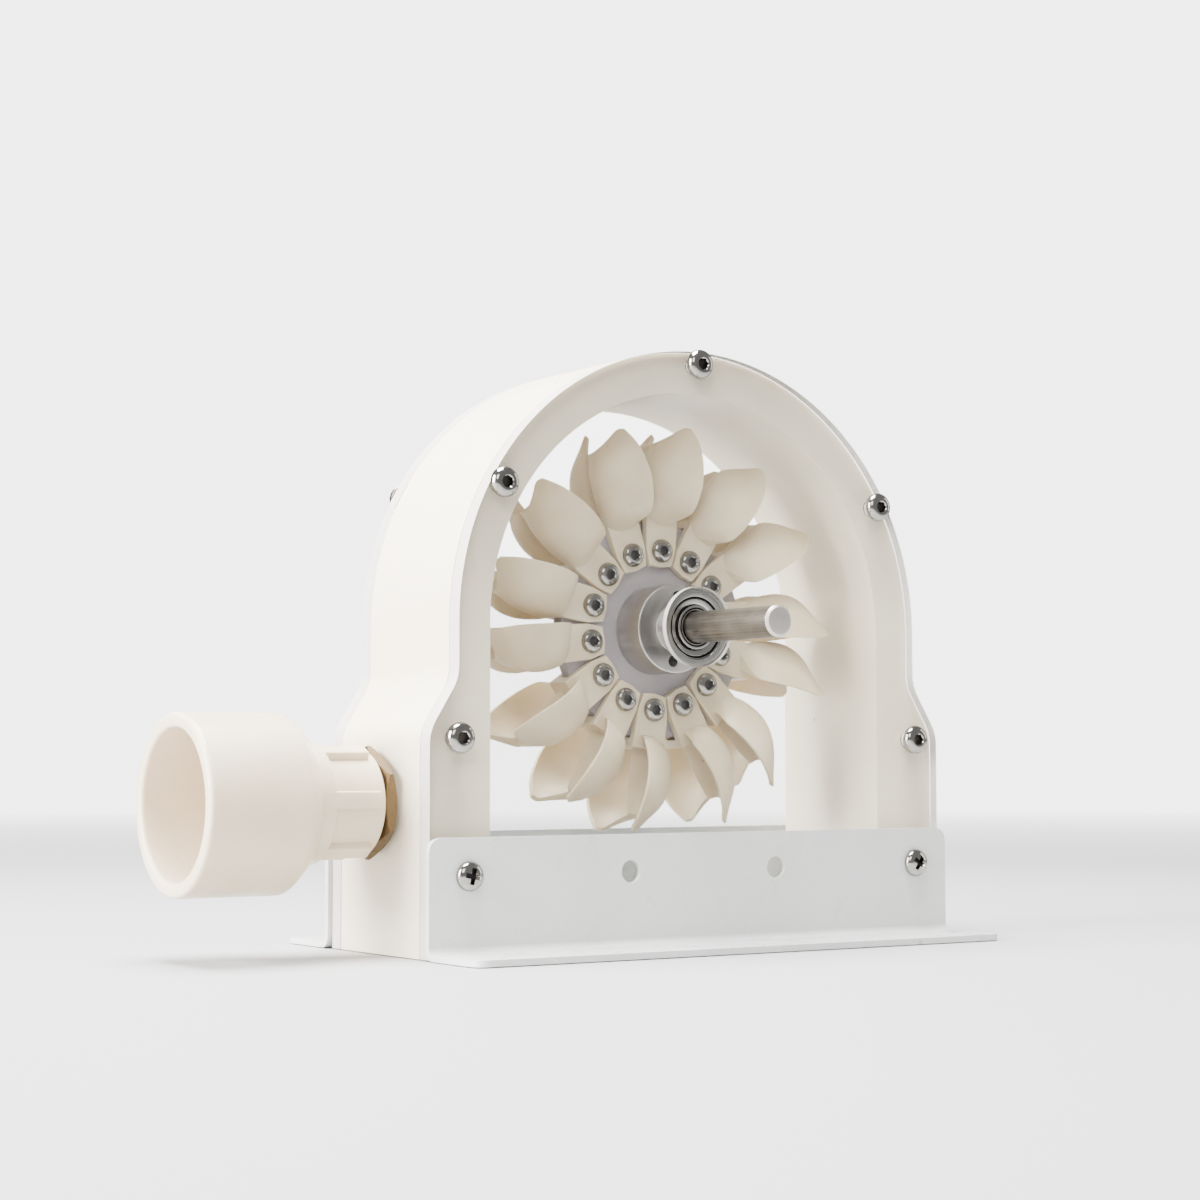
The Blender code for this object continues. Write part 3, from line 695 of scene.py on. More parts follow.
def carved(bm: bmesh.types.BMesh, tools: Sequence[bmesh.types.BMesh], operation: str = "DIFFERENCE",
           weld: bool = True) -> bmesh.types.BMesh:
    """Cuts tools out of a piece, or joins them to it.

    Args:
        bm: The piece.
        tools: The tools, which are used up.
        operation: DIFFERENCE, UNION or INTERSECT.
        weld: Whether doubles are merged afterwards.

    Returns:
        The new piece. The one handed in is used up.
    """
    holder = bpy.data.objects.new("blank", to_mesh(bm, "blank"))
    bpy.context.scene.collection.objects.link(holder)
    helpers = []
    for tool in tools:
        helper = bpy.data.objects.new("tool", to_mesh(tool, "tool"))
        bpy.context.scene.collection.objects.link(helper)
        modifier = holder.modifiers.new("cut", "BOOLEAN")
        modifier.object = helper
        modifier.operation = operation
        modifier.solver = "EXACT"
        helpers.append(helper)
    bpy.context.view_layer.update()
    mesh = bpy.data.meshes.new_from_object(holder.evaluated_get(bpy.context.evaluated_depsgraph_get()))
    result = bmesh.new()
    result.from_mesh(mesh)
    bpy.data.meshes.remove(mesh)
    for used in [holder, *helpers]:
        data = used.data
        bpy.data.objects.remove(used, do_unlink=True)
        bpy.data.meshes.remove(data)
    if weld:
        bmesh.ops.remove_doubles(result, verts=result.verts, dist=MERGE)
    return result


def bar(low: Sequence[float], high: Sequence[float]) -> bmesh.types.BMesh:
    """A block between two corners.

    Args:
        low: The corner with the lowest values.
        high: The opposite corner.

    Returns:
        The block.
    """
    bm = bmesh.new()
    bmesh.ops.create_cube(bm, size=1.0)
    bmesh.ops.scale(bm, vec=Vector(high) - Vector(low), verts=bm.verts)
    bmesh.ops.translate(bm, vec=(Vector(high) + Vector(low)) / 2, verts=bm.verts)
    return bm


def rod(radius: float, start: float, end: float, axis: Axis, steps: int = 48) -> bmesh.types.BMesh:
    """A plain round or many-sided bar, used for cutting.

    Args:
        radius: Its radius over the corners.
        start: Where it starts along the axis.
        end: Where it ends along the axis.
        axis: The axis.
        steps: The number of its sides.

    Returns:
        The bar.
    """
    bm = bmesh.new()
    bmesh.ops.create_cone(bm, cap_ends=True, segments=steps, radius1=radius, radius2=radius,
                          depth=end - start)
    bmesh.ops.translate(bm, vec=(0, 0, (start + end) / 2), verts=bm.verts)
    bmesh.ops.transform(bm, matrix=axis.turn, verts=bm.verts)
    return bm


@dataclass
class Workshop:
    """Makes the finishes once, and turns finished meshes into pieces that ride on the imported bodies."""

    made: dict[str, bpy.types.Material] = field(default_factory=dict)
    count: int = 0

    def finish(self, look: Finish) -> bpy.types.Material:
        """Looks up the material of a finish, and makes it the first time.

        Args:
            look: The finish.

        Returns:
            Its material.
        """
        if look.name not in self.made:
            self.made[look.name] = look.build()
        return self.made[look.name]

    def add(self, name: str, bm: bmesh.types.BMesh, looks: Sequence[Finish], body: Body,
            stands_for: Sequence[str] = (), weighted: bool = False) -> bpy.types.Object:
        """Adds one finished piece.

        Args:
            name: The piece's name.
            bm: Its shape in the unit's own frame, which is used up.
            looks: Its finishes, in the order of its faces' material numbers.
            body: The body that it rides on.
            stands_for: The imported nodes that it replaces.
            weighted: Whether its large faces keep their own normals.

        Returns:
            The piece.
        """
        bmesh.ops.translate(bm, vec=UNIT_SHIFT, verts=bm.verts)
        mesh = to_mesh(bm, name)
        for look in looks:
            mesh.materials.append(self.finish(look))
        mesh.shade_smooth()
        mesh.set_sharp_from_angle(angle=SMOOTH_ANGLE)
        piece = bpy.data.objects.new(name, mesh)
        bpy.context.scene.collection.objects.link(piece)
        if weighted:
            modifier = piece.modifiers.new("weighted", "WEIGHTED_NORMAL")
            modifier.keep_sharp = True
        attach(piece, body.value)
        if stands_for:
            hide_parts(*stands_for)
        self.count += 1
        LOG.info("%s rides on %s with %d faces", name, body.value, len(mesh.polygons))
        return piece


# ---------------------------------------------------------------- the housing


@dataclass
class Fasteners:
    """The button-head screws, the cross-recess screws and the nuts."""

    button_radius: float = 4.75 * MM
    button_height: float = 2.75 * MM
    button_shank: float = 2.4 * MM
    button_socket: float = 1.95 * MM
    pan_radius: float = 4.5 * MM
    pan_height: float = 2.6 * MM
    small_radius: float = 3.85 * MM
    small_height: float = 2.2 * MM
    small_shank: float = 1.95 * MM
    small_socket: float = 1.75 * MM
    shank_chamfer: float = 0.4 * MM
    head_round: float = 0.12 * MM
    rim_share: float = 0.2
    dome_steps: int = 9
    head_steps: int = 56
    button_crown: float = 0.5
    socket_share: float = 0.62
    lead_wide: float = 1.08
    lead_narrow: float = 0.86
    lead_share: float = 0.16
    lead_steps: int = 36
    socket_lip: float = 0.3 * MM
    socket_rim: float = 1.05
    pan_crown: float = 0.3
    wing_reach: float = 3.1 * MM
    wing_half: float = 0.85 * MM
    wing_depth: float = 1.5 * MM
    wing_taper: Point = (0.55, 0.7)
    pit_radius: float = 1.35 * MM
    pit_floor: float = 0.5 * MM
    pit_depth: float = 1.7 * MM
    pit_steps: int = 16
    cross_lip: float = 0.5 * MM
    cross_reach: float = 2.6 * MM
    nut_width: float = 7 * MM
    nut_height: float = 3.2 * MM
    nut_tail: float = 1.2 * MM
    nut_round: float = 0.98
    nut_slope: float = math.radians(30)
    nut_steps: int = 48
    thread_gap: Point = (1.02, 1.18)
    thread_depth: float = 0.3 * MM
    thread_steps: int = 32
    hex_swing: float = math.pi / 3
    dice: random.Random = field(default_factory=lambda: random.Random(11))
    patterns: dict[str, bpy.types.Mesh] = field(default_factory=dict)

    def copy_of(self, key: str, make: Callable[[], bmesh.types.BMesh], swing: float) -> bmesh.types.BMesh:
        """Returns a copy of a pattern, made the first time, turned about Y by a seeded angle.

        Args:
            key: The pattern's name.
            make: Makes the pattern.
            swing: The largest angle, in radians.

        Returns:
            The copy.
        """
        if key not in self.patterns:
            self.patterns[key] = to_mesh(make(), key)
        bm = bmesh.new()
        bm.from_mesh(self.patterns[key])
        return moved(bm, (0, 0, 0), Matrix.Rotation(self.dice.uniform(0, swing), 4, "Y"))

    def shaded(self, bm: bmesh.types.BMesh, depth: float, radius: float) -> bmesh.types.BMesh:
        """Gives the faces down in a head's recess the second finish, a darker one that is painted shade.

        Args:
            bm: The screw, with its head towards -Y.
            depth: Faces whose middle is further along Y than this are in the recess.
            radius: The recess's reach from the screw's axis.

        Returns:
            The screw.
        """
        for face in bm.faces:
            centre = face.calc_center_median()
            inside = depth < centre.y < -SLACK / 2 and math.hypot(centre.x, centre.z) < radius
            face.material_index = int(inside)
        return bm

    def head(self, radius: float, height: float, shank: float, reach: float,
             crown: float) -> bmesh.types.BMesh:
        """A domed head towards -Y with its seat at y = 0, and its shank behind it.

        Args:
            radius: The head's radius.
            height: The head's height.
            shank: The shank's radius.
            reach: The shank's length.
            crown: The radius of the flat at the top of the dome, as a share of the head's.

        Returns:
            The blank, with no recess.
        """
        rim = height * self.rim_share
        step_angle = 90 / self.dome_steps
        bow = [(-rim - (height - rim) * math.sin(a), radius * crown + radius * (1 - crown) * math.cos(a))
               for a in (math.radians(step_angle * step) for step in range(self.dome_steps, -1, -1))]
        profile = [(0, shank), (reach - self.shank_chamfer, shank), (reach, shank - self.shank_chamfer),
                   (reach, 0), (-height, 0)]
        edge = [(-self.head_round, radius), (0, radius - self.head_round)]
        return turned([*profile, *bow, *edge], Axis.Y, self.head_steps)

    def button(self, radius: float, height: float, shank: float, socket: float,
               reach: float) -> bmesh.types.BMesh:
        """A button head with a hexagonal socket.

        Args:
            radius: The head's radius.
            height: The head's height.
            shank: The shank's radius.
            socket: The radius over the socket's corners.
            reach: The shank's length.

        Returns:
            The screw.
        """
        blank = self.head(radius, height, shank, reach, self.button_crown)
        depth = height * self.socket_share
        hexagon = rod(socket, -height - PAST, -height + depth, Axis.Y, HEX_SIDES)
        top = -height - SLACK / 2
        floor = -height + socket * self.lead_share
        lead = turned([(top, 0), (top, socket * self.lead_wide),
                       (floor, socket * self.lead_narrow), (floor, 0)], Axis.Y, self.lead_steps)
        screw = carved(blank, [hexagon, lead])
        return self.shaded(screw, -height + self.socket_lip, socket * self.socket_rim)

    def cross(self, reach: float) -> bmesh.types.BMesh:
        """A pan head with a cross recess.

        Args:
            reach: The shank's length.

        Returns:
            The screw.
        """
        blank = self.head(self.pan_radius, self.pan_height, self.button_shank, reach, self.pan_crown)
        top = -self.pan_height - PAST
        tools = []
        for turn in (0.0, 90.0):
            wing = bar((-self.wing_reach, top, -self.wing_half),
                       (self.wing_reach, -self.pan_height + self.wing_depth, self.wing_half))
            for vert in wing.verts:
                if vert.co.y > -self.pan_height:
                    vert.co.x *= self.wing_taper[0]
                    vert.co.z *= self.wing_taper[1]
            tools.append(moved(wing, (0, 0, 0), Matrix.Rotation(math.radians(turn), 4, "Y")))
        floor = -self.pan_height + self.pit_depth
        pit = turned([(top, 0), (top, self.pit_radius), (floor, self.pit_floor), (floor, 0)], Axis.Y,
                     self.pit_steps)
        screw = carved(blank, [*tools, pit])
        return self.shaded(screw, -self.pan_height + self.cross_lip, self.cross_reach)

    def nut(self) -> bmesh.types.BMesh:
        """A chamfered hexagon nut from y = 0 to its height, with the end of a small screw in it.

        Returns:
            The nut and the screw's end as one piece.
        """
        height, bore = self.nut_height, self.small_shank
        corner = self.nut_width / math.sqrt(3)
        chamfer = corner - self.nut_width / 2 * self.nut_round
        block = rod(corner, 0, height, Axis.Y, HEX_SIDES)
        slope = chamfer * math.tan(self.nut_slope)
        past = corner + SLACK / 10
        shell = turned([(0, 0), (0, corner - chamfer), (slope, past), (height - slope, past),
                        (height, corner - chamfer), (height, 0)], Axis.Y, self.nut_steps)
        nut = carved(block, [shell], "INTERSECT")
        end = height + self.nut_tail
        screw = turned([(height / 2, 0), (height / 2, bore), (end - self.shank_chamfer, bore),
                        (end, bore - self.shank_chamfer), (end, 0)], Axis.Y, self.thread_steps)
        floor = height - self.thread_depth
        narrow, wide = (bore * share for share in self.thread_gap)
        ring = turned([(height + PAST, 0), (height + PAST, wide), (floor, narrow), (floor, 0)], Axis.Y,
                      self.thread_steps)
        return carved(carved(nut, [ring]), [screw], "UNION")


@dataclass
class Casing:
    """The white arched body and its two clear covers."""

    arch: float = 88 * MM
    foot: float = 98 * MM
    shoulder_low: float = 67.5 * MM
    shoulder_high: float = 83.5 * MM
    shoulder_round: float = 14 * MM
    cavity: float = 75 * MM
    half_depth: float = 25 * MM
    sheet: float = 6 * MM
    steps: int = 120
    shoulder_steps: int = 8
    hole_steps: int = 32
    port_steps: int = 64
    seat_steps: int = 96
    edge: float = 1.1 * MM
    sheet_edge: float = 0.35 * MM
    hole: float = 2.7 * MM
    port: float = 10.7 * MM
    bearing: float = 11.3 * MM
    seat: float = 12.9 * MM
    seat_floor: float = 27.7 * MM
    screw_circle: float = 84 * MM
    screw_angles: tuple[float, ...] = (90, 30, 150)
    low_screw: Point = (88 * MM, 65.5 * MM)
    bracket_screw: Point = (86 * MM, 24.5 * MM)
    upright_limit: float = 0.3

    def outline(self) -> list[Point]:
        """The casing's outline in XZ, with soft shoulders.

        Returns:
            The points from the right foot over the arch to the left foot.
        """
        arch = arc((0, AXIS_Z), self.arch, 0, 180, self.steps)
        right = softened([(self.foot, 0, 0), (self.foot, self.shoulder_low, self.shoulder_round),
                          (self.arch, self.shoulder_high, self.shoulder_round), (*arch[0], 0)],
                         self.shoulder_steps)[:-1]
        return right + arch + [(-x, z) for x, z in reversed(right)]

    def inside(self) -> list[Point]:
        """The cavity's outline, open at the foot."""
        return [(-self.cavity, 0)] + arc((0, AXIS_Z), self.cavity, 180, 0, self.steps) + [(self.cavity, 0)]

    def cover_screws(self) -> list[Point]:
        """Where the screws of a cover stand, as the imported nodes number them."""
        places = [arc((0, AXIS_Z), self.screw_circle, angle, angle, 1)[0] for angle in self.screw_angles]
        return places + [self.low_screw, (-self.low_screw[0], self.low_screw[1])]

    def bracket_screws(self) -> list[Point]:
        """Where the screws of a bracket stand."""
        return [self.bracket_screw, (-self.bracket_screw[0], self.bracket_screw[1])]

    def holes(self) -> list[list[Point]]:
        """The screw holes that go through the body and the covers."""
        places = self.cover_screws() + self.bracket_screws()
        return [circle(place, self.hole, self.hole_steps) for place in places]

    def build(self, shop: Workshop) -> None:
        """Adds the body and the covers.

        Args:
            shop: The workshop.
        """
        body = plate([self.outline() + self.inside(), *self.holes()], 2 * self.half_depth, self.edge)
        drill = rod(self.port, -self.foot - PAST, -self.cavity + PAST, Axis.X, self.port_steps)
        body = carved(standing(body), [moved(drill, (0, 0, INLET_Z))])
        shop.add("casing_shell", body, [CASING_WHITE], Body.HOUSING, ["casing_body"], weighted=True)
        for side in Side:
            self.add_cover(shop, side)

    def add_cover(self, shop: Workshop, side: Side) -> None:
        """Adds one clear cover with the seat of its bearing. Sawn and turned edges get the second finish.

        Args:
            shop: The workshop.
            side: The cover's side.
        """
        bore = circle((0, AXIS_Z), self.bearing, self.seat_steps)
        sheet = plate([self.outline(), bore, *self.holes()], self.sheet - GAP, self.sheet_edge, 2)
        middle = side.value * (self.half_depth + self.sheet / 2 + GAP / 2)
        outside = self.half_depth + self.sheet + PAST
        ends = sorted((side.value * self.seat_floor, side.value * outside))
        seat = moved(rod(self.seat, ends[0], ends[1], Axis.Y, self.seat_steps), AXIS)
        sheet = carved(standing(sheet, middle), [seat])
        for face in sheet.faces:
            centre = face.calc_center_median()
            from_axis = math.hypot(centre.x, centre.z - AXIS_Z)
            upright = abs(face.normal.y) < self.upright_limit
            outer_edge = from_axis > self.arch - PAST or centre.z < PAST
            seat_wall = self.bearing - PAST < from_axis < self.seat + PAST
            face.material_index = int(upright and (outer_edge or seat_wall))
        shop.add(f"{side.label}_cover_sheet", sheet, [SHEET_CLEAR, SHEET_EDGE], Body.HOUSING,
                 [f"{side.label}_cover"], weighted=True)


@dataclass
class Bracket:
    """An L bracket folded from one enamelled strip."""

    half: float = 99.5 * MM
    height: float = 36 * MM
    reach: float = 30 * MM
    thickness: float = 2 * MM
    bend: float = 2 * MM
    corner: float = 5 * MM
    edge: float = 0.35 * MM
    face: float = 31.3 * MM
    hole_x: float = 28 * MM
    screw_x: float = 86 * MM
    hole_z: float = 24.5 * MM
    hole: float = 3.5 * MM
    screw_hole: float = 2.7 * MM
    folds: int = 14
    corner_steps: int = 10
    hole_steps: int = 40
    screw_hole_steps: int = 32

    @property
    def middle_radius(self) -> float:
        """The bend's radius at the middle of the strip."""
        return self.bend + self.thickness / 2

    def strip(self) -> bmesh.types.BMesh:
        """The strip before it is folded, with the fold's line at y = 0 and the leg towards +y.

        Returns:
            The flat strip, cut across where it bends.
        """
        rise = self.height - self.bend - self.thickness
        fold = self.middle_radius * math.pi / 2
        run = self.reach - self.bend - self.thickness
        low = -fold - run
        outline = softened([(-self.half, low, self.corner), (self.half, low, self.corner),
                            (self.half, rise, self.corner), (-self.half, rise, self.corner)],
                           self.corner_steps)
        line = self.hole_z - self.bend - self.thickness
        holes = [circle((x, line), self.hole, self.hole_steps) for x in (-self.hole_x, self.hole_x)]
        holes += [circle((x, line), self.screw_hole, self.screw_hole_steps)
                  for x in (-self.screw_x, self.screw_x)]
        bm = plate([outline, *holes], self.thickness, self.edge)
        for step in range(self.folds + 1):
            cut = (0, -fold * step / self.folds, 0)
            bmesh.ops.bisect_plane(bm, geom=bm.verts[:] + bm.edges[:] + bm.faces[:], dist=MERGE, plane_co=cut,
                                   plane_no=(0, 1, 0))
        return bm

    def folded(self, side: Side) -> bmesh.types.BMesh:
        """Folds the strip and stands it on its side of the casing.

        Args:
            side: The bracket's side.

        Returns:
            The bracket.
        """
        bm = self.strip()
        fold = self.middle_radius * math.pi / 2
        centre_out = self.bend + self.thickness
        for vert in bm.verts:
            x, along, depth = vert.co
            radius = self.middle_radius + depth
            if along >= 0:
                out, up = centre_out - radius, centre_out + along
            elif along > -fold:
                angle = -along / self.middle_radius
                out, up = centre_out - radius * math.cos(angle), centre_out - radius * math.sin(angle)
            else:
                out, up = centre_out - fold - along, centre_out - radius
            vert.co = (x, side.value * (self.face + out), up)
        return sealed(bm)

    def build(self, shop: Workshop) -> None:
        """Adds both brackets.

        Args:
            shop: The workshop.
        """
        for side in Side:
            shop.add(f"{side.label}_bracket_strip", self.folded(side), [BRACKET_ENAMEL], Body.HOUSING,
                     [f"{side.label}_bracket"], weighted=True)


@dataclass
class HousingScrews:
    """The ten button-head screws of the covers and the four cross-recess screws of the brackets."""

    casing: Casing
    bracket: Bracket
    fasteners: Fasteners
    reach: float = 18 * MM
    cross_swing: float = 1.0

    def build(self, shop: Workshop) -> None:
        """Adds the screws of both sides.

        Args:
            shop: The workshop.
        """
        tools = self.fasteners
        for side in Side:
            turn = Matrix.Identity(4) if side is Side.FRONT else Matrix.Rotation(math.pi, 4, "Z")
            seat = side.value * self.bracket.face
            for number, (x, z) in enumerate(self.casing.cover_screws(), 1):
                screw = tools.copy_of("button", lambda: tools.button(
                    tools.button_radius, tools.button_height, tools.button_shank, tools.button_socket,
                    self.reach), tools.hex_swing)
                shop.add(f"{side.label}_button_screw_{number}", moved(screw, (x, seat, z), turn), SCREW_LOOKS,
                         Body.HOUSING, [f"{side.label}_cover_screw_{number}"])
            seat = side.value * (self.bracket.face + self.bracket.thickness + GAP)
            for number, (x, z) in enumerate(self.casing.bracket_screws(), 1):
                screw = tools.copy_of("cross", lambda: tools.cross(self.reach), self.cross_swing)
                shop.add(f"{side.label}_cross_screw_{number}", moved(screw, (x, seat, z), turn), CROSS_LOOKS,
                         Body.HOUSING, [f"{side.label}_bracket_screw_{number}"])


@dataclass
class Inlet:
    """The ivory hose socket with its ribbed collar, and the brass nozzle with its hexagon."""

    mouth_x: float = -166.5 * MM
    end_x: float = -104.4 * MM
    outer: float = 27.2 * MM
    bore: float = 22.7 * MM
    stop_x: float = -134 * MM
    floor_x: float = -130 * MM
    floor: float = 20.7 * MM
    collar: float = 18.3 * MM
    core: float = 16.0 * MM
    thread: float = 10.4 * MM
    rib_start_x: float = -121.8 * MM
    rib_end_x: float = -106.8 * MM
    rib_half: float = 2.6 * MM
    ribs: int = 6
    flats: float = 30 * MM
    hex_end_x: float = -99.9 * MM
    rib_turn: float = 4.0
    rib_foot: float = 12.5 * MM
    rib_round: float = 0.7 * MM
    barrel_end_x: float = -133.4 * MM
    shoulder: Point = (-129 * MM, 22.9 * MM)
    collar_end_x: float = -127.2 * MM
    bore_round: float = 1.6 * MM
    mouth_round: float = 1.8 * MM
    barrel_round: float = 3.2 * MM
    shoulder_round: float = 4 * MM
    collar_round: float = 1.4 * MM
    collar_edge: float = 0.7 * MM
    core_step: float = 1.2 * MM
    core_round: float = 0.8 * MM
    end_round: float = 0.6 * MM
    neck_round: float = 0.3 * MM
    floor_round: float = 0.4 * MM
    floor_edge: float = 0.8 * MM
    stop_round: float = 0.5 * MM
    round_steps: int = 6
    hex_slope: float = 1.5 * MM
    hex_round: float = 0.97
    hex_turn: float = 30.0
    hex_bore: float = 9 * MM
    hex_steps: int = 96
    tube_steps: int = 64
    tail_x: float = -128 * MM
    taper_x: float = -74 * MM
    tip_x: float = -67 * MM
    tip_lip: float = 0.6 * MM
    tip_wide: float = 7.3 * MM
    tip_narrow: float = 6.8 * MM
    jet: float = 4 * MM
    throat: Point = (-82 * MM, 5 * MM)
    pipe: Point = (-92 * MM, 8 * MM)

    def socket(self) -> bmesh.types.BMesh:
        """The socket: a wide barrel, a rounded shoulder, a collar and ribs.

        Returns:
            The socket, in its place.
        """
        neck = self.thread + GAP
        corners = [
            (self.mouth_x, self.bore, self.bore_round), (self.mouth_x, self.outer, self.mouth_round),
            (self.barrel_end_x, self.outer, self.barrel_round), (*self.shoulder, self.shoulder_round),
            (self.collar_end_x, self.collar, self.collar_round),
            (self.rib_start_x, self.collar, self.collar_edge),
            (self.rib_start_x + self.core_step, self.core, self.core_round),
            (self.end_x, self.core, self.end_round), (self.end_x, neck, self.neck_round),
            (self.floor_x, neck, self.floor_round), (self.stop_x, self.floor, self.floor_edge),
            (self.stop_x, self.bore, self.stop_round),
        ]
        barrel = turned(softened(corners, self.round_steps), Axis.X, FINE_STEPS)
        ribs = []
        for index in range(self.ribs):
            rib = bar((self.rib_start_x - PAST, -self.collar, -self.rib_half),
                      (self.rib_end_x, -self.rib_foot, self.rib_half))
            top = [edge for edge in rib.edges if all(v.co.y < -self.collar + PAST for v in edge.verts)]
            ends = [edge for edge in rib.edges if all(v.co.x > self.rib_end_x - PAST for v in edge.verts)]
            bevel_edges(rib, set(top + ends), self.rib_round, 4)
            turn = math.radians(360 * index / self.ribs - self.rib_turn)
            ribs.append(moved(rib, (0, 0, 0), Matrix.Rotation(turn, 4, "X")))
        return moved(carved(barrel, ribs, "UNION"), (0, 0, INLET_Z))

    def nozzle(self) -> bmesh.types.BMesh:
        """The nozzle: a threaded tube, a chamfered hexagon and a tapered tip.

        Returns:
            The nozzle, in its place.
        """
        corner = self.flats / math.sqrt(3)
        low = self.end_x + GAP
        high = self.hex_end_x
        inner = self.flats / 2 * self.hex_round
        past = corner + SLACK / 5
        turn = Matrix.Rotation(math.radians(self.hex_turn), 4, "X")
        block = moved(rod(corner, low, high, Axis.X, HEX_SIDES), (0, 0, 0), turn)
        shell = turned([(low, 0), (low, inner), (low + self.hex_slope, past), (high - self.hex_slope, past),
                        (high, inner), (high, 0)], Axis.X, self.hex_steps)
        hexagon = carved(block, [shell], "INTERSECT")
        outside = [(self.tail_x, self.thread), (self.taper_x, self.thread),
                   (self.tip_x + self.tip_lip, self.tip_wide), (self.tip_x, self.tip_narrow)]
        inside = [(self.tip_x, self.jet), self.throat, self.pipe, (self.tail_x, self.pipe[1])]
        drill = rod(self.hex_bore, low - PAST, high + PAST, Axis.X, self.tube_steps)
        tube = turned(outside + inside, Axis.X, self.tube_steps)
        return moved(carved(carved(hexagon, [drill]), [tube], "UNION"), (0, 0, INLET_Z))

    def build(self, shop: Workshop) -> None:
        """Adds the socket and the nozzle."""
        shop.add("hose_socket", self.socket(), [SOCKET_IVORY], Body.HOUSING, ["inlet_socket"])
        shop.add("brass_nozzle", self.nozzle(), [BRASS], Body.HOUSING, ["inlet_nozzle"])


# ---------------------------------------------------------------- the wheel


@dataclass
class Bearing:
    """A shielded flanged ball bearing, as a fixed outer part and an inner ring that turns."""

    face: float = 29.5 * MM
    width: float = 6 * MM
    flange: float = 12.5 * MM
    flange_width: float = 1.5 * MM
    outer: float = 11 * MM
    shield_outer: float = 9.75 * MM
    shield_inner: float = 7.85 * MM
    race: float = 7.1 * MM
    shaft: float = 5.3 * MM
    ring_lip: float = 0.45 * MM
    rim_round: float = 0.3 * MM
    ring_round: float = 0.2 * MM
    bore_round: float = 0.15 * MM
    fine_round: float = 0.1 * MM
    round_steps: int = 4
    shield_back: float = 0.95 * MM
    shield_low: float = 0.8 * MM
    shield_high: float = 0.6 * MM
    shield_run: float = 0.6 * MM
    groove_floor: float = 1.6 * MM
    groove_wide: float = 0.5 * MM
    groove_past: float = 0.1 * MM
    groove_top: float = 0.4 * MM
    step_depth: float = 0.35 * MM
    step_reach: float = 0.3 * MM
    set_back: float = 0.1 * MM
    ring_groove: tuple[float, ...] = (5.75 * MM, 5.8 * MM, 6.25 * MM, 6.3 * MM)
    ring_groove_floor: float = 1.2 * MM
    race_gap: float = 0.05 * MM
    notches: int = 5
    notch_length: float = 0.75 * MM
    notch_depth: float = 1.2 * MM
    notch_half: float = 0.3 * MM
    notch_turn: float = 18.0
    level_limit: float = 0.7
    dark_depth: float = 1.1 * MM

    def mirrored(self, profile: Sequence[Point], side: Side) -> list[Point]:
        """Moves a profile of (depth below the face, radius) to its side."""
        return [(side.value * (self.face - depth), radius) for depth, radius in profile]

    def outer_part(self, side: Side) -> bmesh.types.BMesh:
        """The outer ring, its flange and its shield, with a groove between them.

        Args:
            side: The bearing's side.

        Returns:
            The fixed part, about the origin.
        """
        wall = self.shield_outer + self.groove_past
        corners = [
            (0, self.shield_outer + self.ring_lip, self.ring_round), (0, self.flange, self.rim_round),
            (self.flange_width, self.flange, self.ring_round), (self.flange_width, self.outer, 0),
            (self.width, self.outer, self.rim_round), (self.width, self.race + GAP, 0),
            (self.shield_back, self.race + GAP, 0), (self.shield_low, self.shield_inner, self.fine_round),
            (self.shield_high, self.shield_outer - self.shield_run, self.bore_round),
            (self.groove_floor, self.shield_outer - self.groove_wide, 0),
            (self.groove_floor, wall, 0), (self.groove_top, wall, 0),
            (self.step_depth, self.shield_outer + self.step_reach, self.fine_round),
        ]
        ring = turned(self.mirrored(softened(corners, self.round_steps), side), Axis.Y, FINE_STEPS)
        notches = []
        for index in range(self.notches):
            inner, outer = self.shield_outer - self.notch_length, self.shield_outer
            ends = sorted((side.value * (self.face + PAST), side.value * (self.face - self.notch_depth)))
            notch = bar((-self.notch_half, ends[0], inner), (self.notch_half, ends[1], outer))
            turn = Matrix.Rotation(math.radians(self.notch_turn + 360 * index / self.notches), 4, "Y")
            notches.append(moved(notch, (0, 0, 0), turn))
        return carved(ring, notches)

    def inner_part(self, side: Side) -> bmesh.types.BMesh:
        """The inner ring with a fine groove round its bore.

        Args:
            side: The bearing's side.

        Returns:
            The ring, about the origin.
        """
        start, low, high, end = self.ring_groove
        corners = [
            (self.set_back, self.shaft + self.set_back, self.bore_round), (self.set_back, start, 0),
            (self.ring_groove_floor, low, 0), (self.ring_groove_floor, high, 0), (self.set_back, end, 0),
            (self.set_back, self.race - self.race_gap, self.ring_round),
            (self.width, self.race, 0), (self.width, self.shaft, 0),
        ]
        return turned(self.mirrored(softened(corners, self.round_steps), side), Axis.Y, FINE_STEPS)

    def with_painted_shade(self, bm: bmesh.types.BMesh, side: Side) -> bmesh.types.BMesh:
        """Gives grooves and steps the second finish, a near-black painted shade, and the shield the third.

        Args:
            bm: A part of the bearing, about the origin.
            side: The bearing's side.

        Returns:
            The same part.
        """
        # Painted shade: deep faces and upright walls in the grooves and steps take the near-black finish.
        for face in bm.faces:
            centre = face.calc_center_median()
            radius = math.hypot(centre.x, centre.z)
            depth = self.face - side.value * centre.y
            level = abs(face.normal.y) > self.level_limit
            deep = depth > self.dark_depth
            if deep and radius < self.shield_outer + self.step_reach:
                face.material_index = 1
            elif radius < self.shield_outer + self.groove_past:
                face.material_index = 2 if level and radius > self.race else int(not level)
            else:
                face.material_index = 0 if level or deep or radius > self.outer else 1
        return bm

    def build(self, shop: Workshop) -> None:
        """Adds the bearings of both covers.

        Args:
            shop: The workshop.
        """
        for side in Side:
            outer = moved(self.with_painted_shade(self.outer_part(side), side), AXIS)
            shop.add(f"{side.label}_flanged_bearing", outer, BEARING_LOOKS, Body.HOUSING,
                     [f"{side.label}_bearing_outer"])
            inner = moved(self.with_painted_shade(self.inner_part(side), side), AXIS)
            shop.add(f"{side.label}_inner_ring", inner, BEARING_LOOKS, Body.RUNNER,
                     [f"{side.label}_bearing_inner"])


